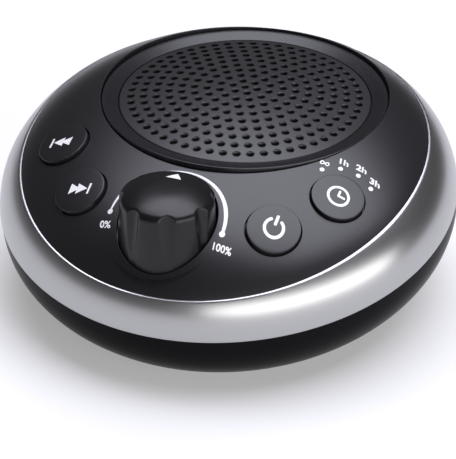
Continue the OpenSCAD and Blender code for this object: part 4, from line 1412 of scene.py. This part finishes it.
class SOUND_OT_marks(MachineOperator, bpy.types.Operator):
    """The volume scale and the numbers printed on the cover"""

    bl_idname = "sound_machine.marks"
    bl_label = "Printed marks"

    # Centre and radii of the volume scale, and its line's width by angle in degrees
    scale_centre, scale_radii = (-0.6, -45.5), (16.2, 15.5)
    scale_angles = (-4, 5, 25, 60, 104, 140, 160, 184)
    scale_widths = (0.65, 0.95, 1.1, 0.85, 0.3, 0.6, 0.8, 0.38)
    # Words, centre, height, width, weight and lean
    percents = (
        ("0%", (-16.8, -49.0), 1.9, 1.05, 0.025, -0.22),
        ("100%", (17.0, -49.15), 1.95, 1.0, 0.025, -0.12),
    )
    hours = (
        ("1h", (37.8, -10.9), 1.95, 1.2, 0.03, -0.2),
        ("2h", (42.6, -10.4), 1.95, 1.2, 0.03, -0.2),
        ("3h", (47.2, -12.5), 1.95, 1.2, 0.03, -0.2),
    )
    eight_centre, eight_reach = (33.2, -13.8), (1.15, 0.55)

    def execute(self, context):
        body, top = settings(context)
        pebble, inset = Pebble(body), body.reveal / MM
        ink = Print(lambda xy: pebble.hit(OVERHEAD, xy, inset)[:, 2], top.print_lift / MM)
        turn = np.linspace(180, -0.5, 90)
        line = self.scale_centre + arc((0, 0), 1, 180, -0.5, 90) * self.scale_radii
        ink.stroke(line, np.interp(turn, self.scale_angles, self.scale_widths))
        ink.disc(line[0], 0.72)
        ink.disc(line[-1], 0.82)
        for label in self.percents:
            ink.text(*label)
        loop = np.linspace(0, 2 * math.pi, 61)
        eight = np.stack([np.cos(loop), np.sin(2 * loop)], 1) * self.eight_reach + self.eight_centre
        for half in (eight[:31], eight[30:]):
            ink.stroke(half, 0.34, caps=False)
        for label in self.hours:
            ink.text(*label)
        place_piece(ink.mesh("scale_print"), "scale_print", "housing", "lamp_white", paint("ink"))
        return {"FINISHED"}


class SOUND_OT_feet(MachineOperator, bpy.types.Operator):
    """The four rubber feet"""

    bl_idname = "sound_machine.feet"
    bl_label = "Feet"

    def execute(self, context):
        r, tall = FOOT_RADIUS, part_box("rubber_feet")[1].z / MM
        rows = [(0, 0.25), (r - 2.2, 0.25), (r - 2.0, 0.05), (r - 1.8, 0), (r - 0.6, 0)]
        rows += [*arc((r - 0.5, 0.5), 0.5, -70, 0, 5), (r, tall - 0.1), (r - 0.1, tall), (0, tall)]
        foot = lathe(rows, 48, upright(0, 0, 0.0), "foot")
        places = bpy.data.meshes.new("places")
        places.from_pydata([(x * MM, y * MM, 0) for x, y in foot_spots()], [], [])
        mesh = baked(places, foot, copies_tree(), {"Material": paint("rubber")}, "feet")
        smooth(mesh, 32)
        place_piece(mesh, "feet", "housing", "foot_rubber", paint("rubber"), "rubber_feet")
        return {"FINISHED"}


NODE_FINISHES = {
    "lamp": ("lamp_pipes",),
    "steel": (
        "pot_shaft",
        "pot_body",
        "pot_nut",
        "button_board_screws",
        "speaker_screws",
        "main_board_screws",
        "base_screws",
        "speaker_yoke",
        "speaker_top_plate",
    ),
    "board": ("main_board", "control_board", "left_button_board", "right_button_board"),
    "black_part": ("amplifier_parts", "tact_switches", "power_socket", "speaker_basket"),
    "ivory_part": ("previous_plunger", "next_plunger", "power_plunger", "timer_plunger", "timer_leds"),
    "ferrite": ("speaker_magnet",),
    "pulp": ("speaker_cone", "speaker_dust_cap"),
    "foam": ("speaker_gasket",),
    "rubber": ("speaker_surround",),
    "copper": ("voice_coil", "speaker_spider"),
    "red_lead": ("speaker_leads",),
    "black_lead": ("socket_leads",),
}


class SOUND_OT_inner_parts(MachineOperator, bpy.types.Operator):
    """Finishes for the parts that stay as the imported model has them"""

    bl_idname = "sound_machine.inner_parts"
    bl_label = "Inner parts"

    def execute(self, context):
        for finish_name, nodes in NODE_FINISHES.items():
            for node in nodes:
                slots = NODES[node].data.materials
                if not slots:
                    slots.append(paint(finish_name))
                for k in range(len(slots)):
                    slots[k] = paint(finish_name)
        return {"FINISHED"}


class SOUND_OT_studio(MachineOperator, bpy.types.Operator):
    """The camera, the pale floor, the soft lights and the dim surroundings"""

    bl_idname = "sound_machine.studio"
    bl_label = "Studio"

    aim = (0, 0, 0.03)
    # Name, place, size, watts and tone
    lights = (
        ("over_light", (0.1, 0.24, 1.14), (1.5, 0.95), 21.0, (0.88, 0.88, 1.0)),
        ("key_light", (0.91, -0.67, 0.27), (2.2, 0.4), 10.2, (1, 1, 1)),
    )

    def execute(self, context):
        scene, studio = context.scene, context.scene.machine_studio
        self.camera(scene, studio)
        scene.view_settings.view_transform = "Standard"
        self.floor(scene, studio)
        self.surroundings(scene, studio)
        for light in self.lights:
            self.soft_light(*light)
        return {"FINISHED"}

    def camera(self, scene, studio):
        data = bpy.data.cameras.new("camera")
        data.lens, data.sensor_width, data.clip_start, data.clip_end = studio.lens, 36.0, 0.01, 50.0
        scene.camera = link(bpy.data.objects.new("camera", data))
        back = Vector(studio.camera_back).normalized()
        right = Vector((0, 0, 1)).cross(back).normalized()
        rows = zip(right, back.cross(right), back, studio.camera_place)
        scene.camera.matrix_world = Matrix([*rows, (0, 0, 0, 1)])

    def soft_light(self, name, place, size, power, tone):
        lamp = bpy.data.lights.new(name, "AREA")
        lamp.shape, lamp.size, lamp.size_y = "RECTANGLE", *size
        lamp.energy, lamp.color = power, tone
        thing = link(bpy.data.objects.new(name, lamp))
        thing.location = place
        thing.rotation_euler = (Vector(place) - Vector(self.aim)).to_track_quat("Z", "Y").to_euler()

    def floor(self, scene, studio):
        half = studio.floor_size / 2
        mesh = bpy.data.meshes.new("floor")
        corners = ((-half, -half, 0), (half, -half, 0), (half, half, 0), (-half, half, 0))
        mesh.from_pydata(corners, [], [(0, 1, 2, 3)])
        material = bpy.data.materials.new("pale_floor")
        material.use_nodes = True
        material.node_tree.nodes.clear()
        g = Graph(material.node_tree, "ShaderNode")
        matt = g.node("BsdfDiffuse", None, (*scene.machine_colours.floor, 1), 0.0)
        rays = g.node("LightPath").socket.node.outputs
        kinds = ("Camera", "Glossy", "Transmission")
        seen, mirrored, through = (Value(g, rays[f"Is {kind} Ray"]) for kind in kinds)
        glow = g.node("Emission", None, (1, 1, 1, 1), (seen + mirrored + through) * studio.floor_glow)
        g.end("ShaderNodeOutputMaterial", g.node("AddShader", None, matt, glow))
        mesh.materials.append(material)
        link(bpy.data.objects.new("floor", mesh))

    def surroundings(self, scene, studio):
        scene.world = bpy.data.worlds.new("studio")
        scene.world.use_nodes = True
        scene.world.node_tree.nodes.clear()
        g = Graph(scene.world.node_tree, "ShaderNode")
        g.end("ShaderNodeOutputWorld", g.node("Background", None, (1, 1, 1, 1), studio.world))


class SOUND_PT_panel(bpy.types.Panel):
    """Lists the machine's pieces and sizes"""

    bl_idname = "SOUND_PT_panel"
    bl_label = "Sound Machine"
    bl_space_type = "VIEW_3D"
    bl_region_type = "UI"
    bl_category = "Sound Machine"

    def draw(self, context):
        layout = self.layout
        for operator in OPERATORS:
            layout.operator(operator.bl_idname)
        for name, _ in GROUPS:
            group = getattr(context.scene, name)
            box = layout.box()
            for key in group.__annotations__:
                box.prop(group, key)


GROUPS = (
    ("machine_body", SoundMachineBody),
    ("machine_top", SoundMachineTop),
    ("machine_colours", SoundMachineColours),
    ("machine_studio", SoundMachineStudio),
)
OPERATORS = (
    SOUND_OT_studio,
    SOUND_OT_cover,
    SOUND_OT_band,
    SOUND_OT_base,
    SOUND_OT_ring,
    SOUND_OT_grille,
    SOUND_OT_screen,
    SOUND_OT_knob,
    SOUND_OT_buttons,
    SOUND_OT_marks,
    SOUND_OT_feet,
    SOUND_OT_inner_parts,
)


def register():
    for name, group in GROUPS:
        bpy.utils.register_class(group)
        setattr(bpy.types.Scene, name, bpy.props.PointerProperty(type=group))
    for operator in OPERATORS:
        bpy.utils.register_class(operator)
    bpy.utils.register_class(SOUND_PT_panel)


def unregister():
    bpy.utils.unregister_class(SOUND_PT_panel)
    for operator in reversed(OPERATORS):
        bpy.utils.unregister_class(operator)
    for name, group in reversed(GROUPS):
        delattr(bpy.types.Scene, name)
        bpy.utils.unregister_class(group)


def main():
    register()
    for operator in OPERATORS:
        group, name = operator.bl_idname.split(".")
        getattr(getattr(bpy.ops, group), name)()
    bpy.context.view_layer.update()


if __name__ == "__main__":
    main()
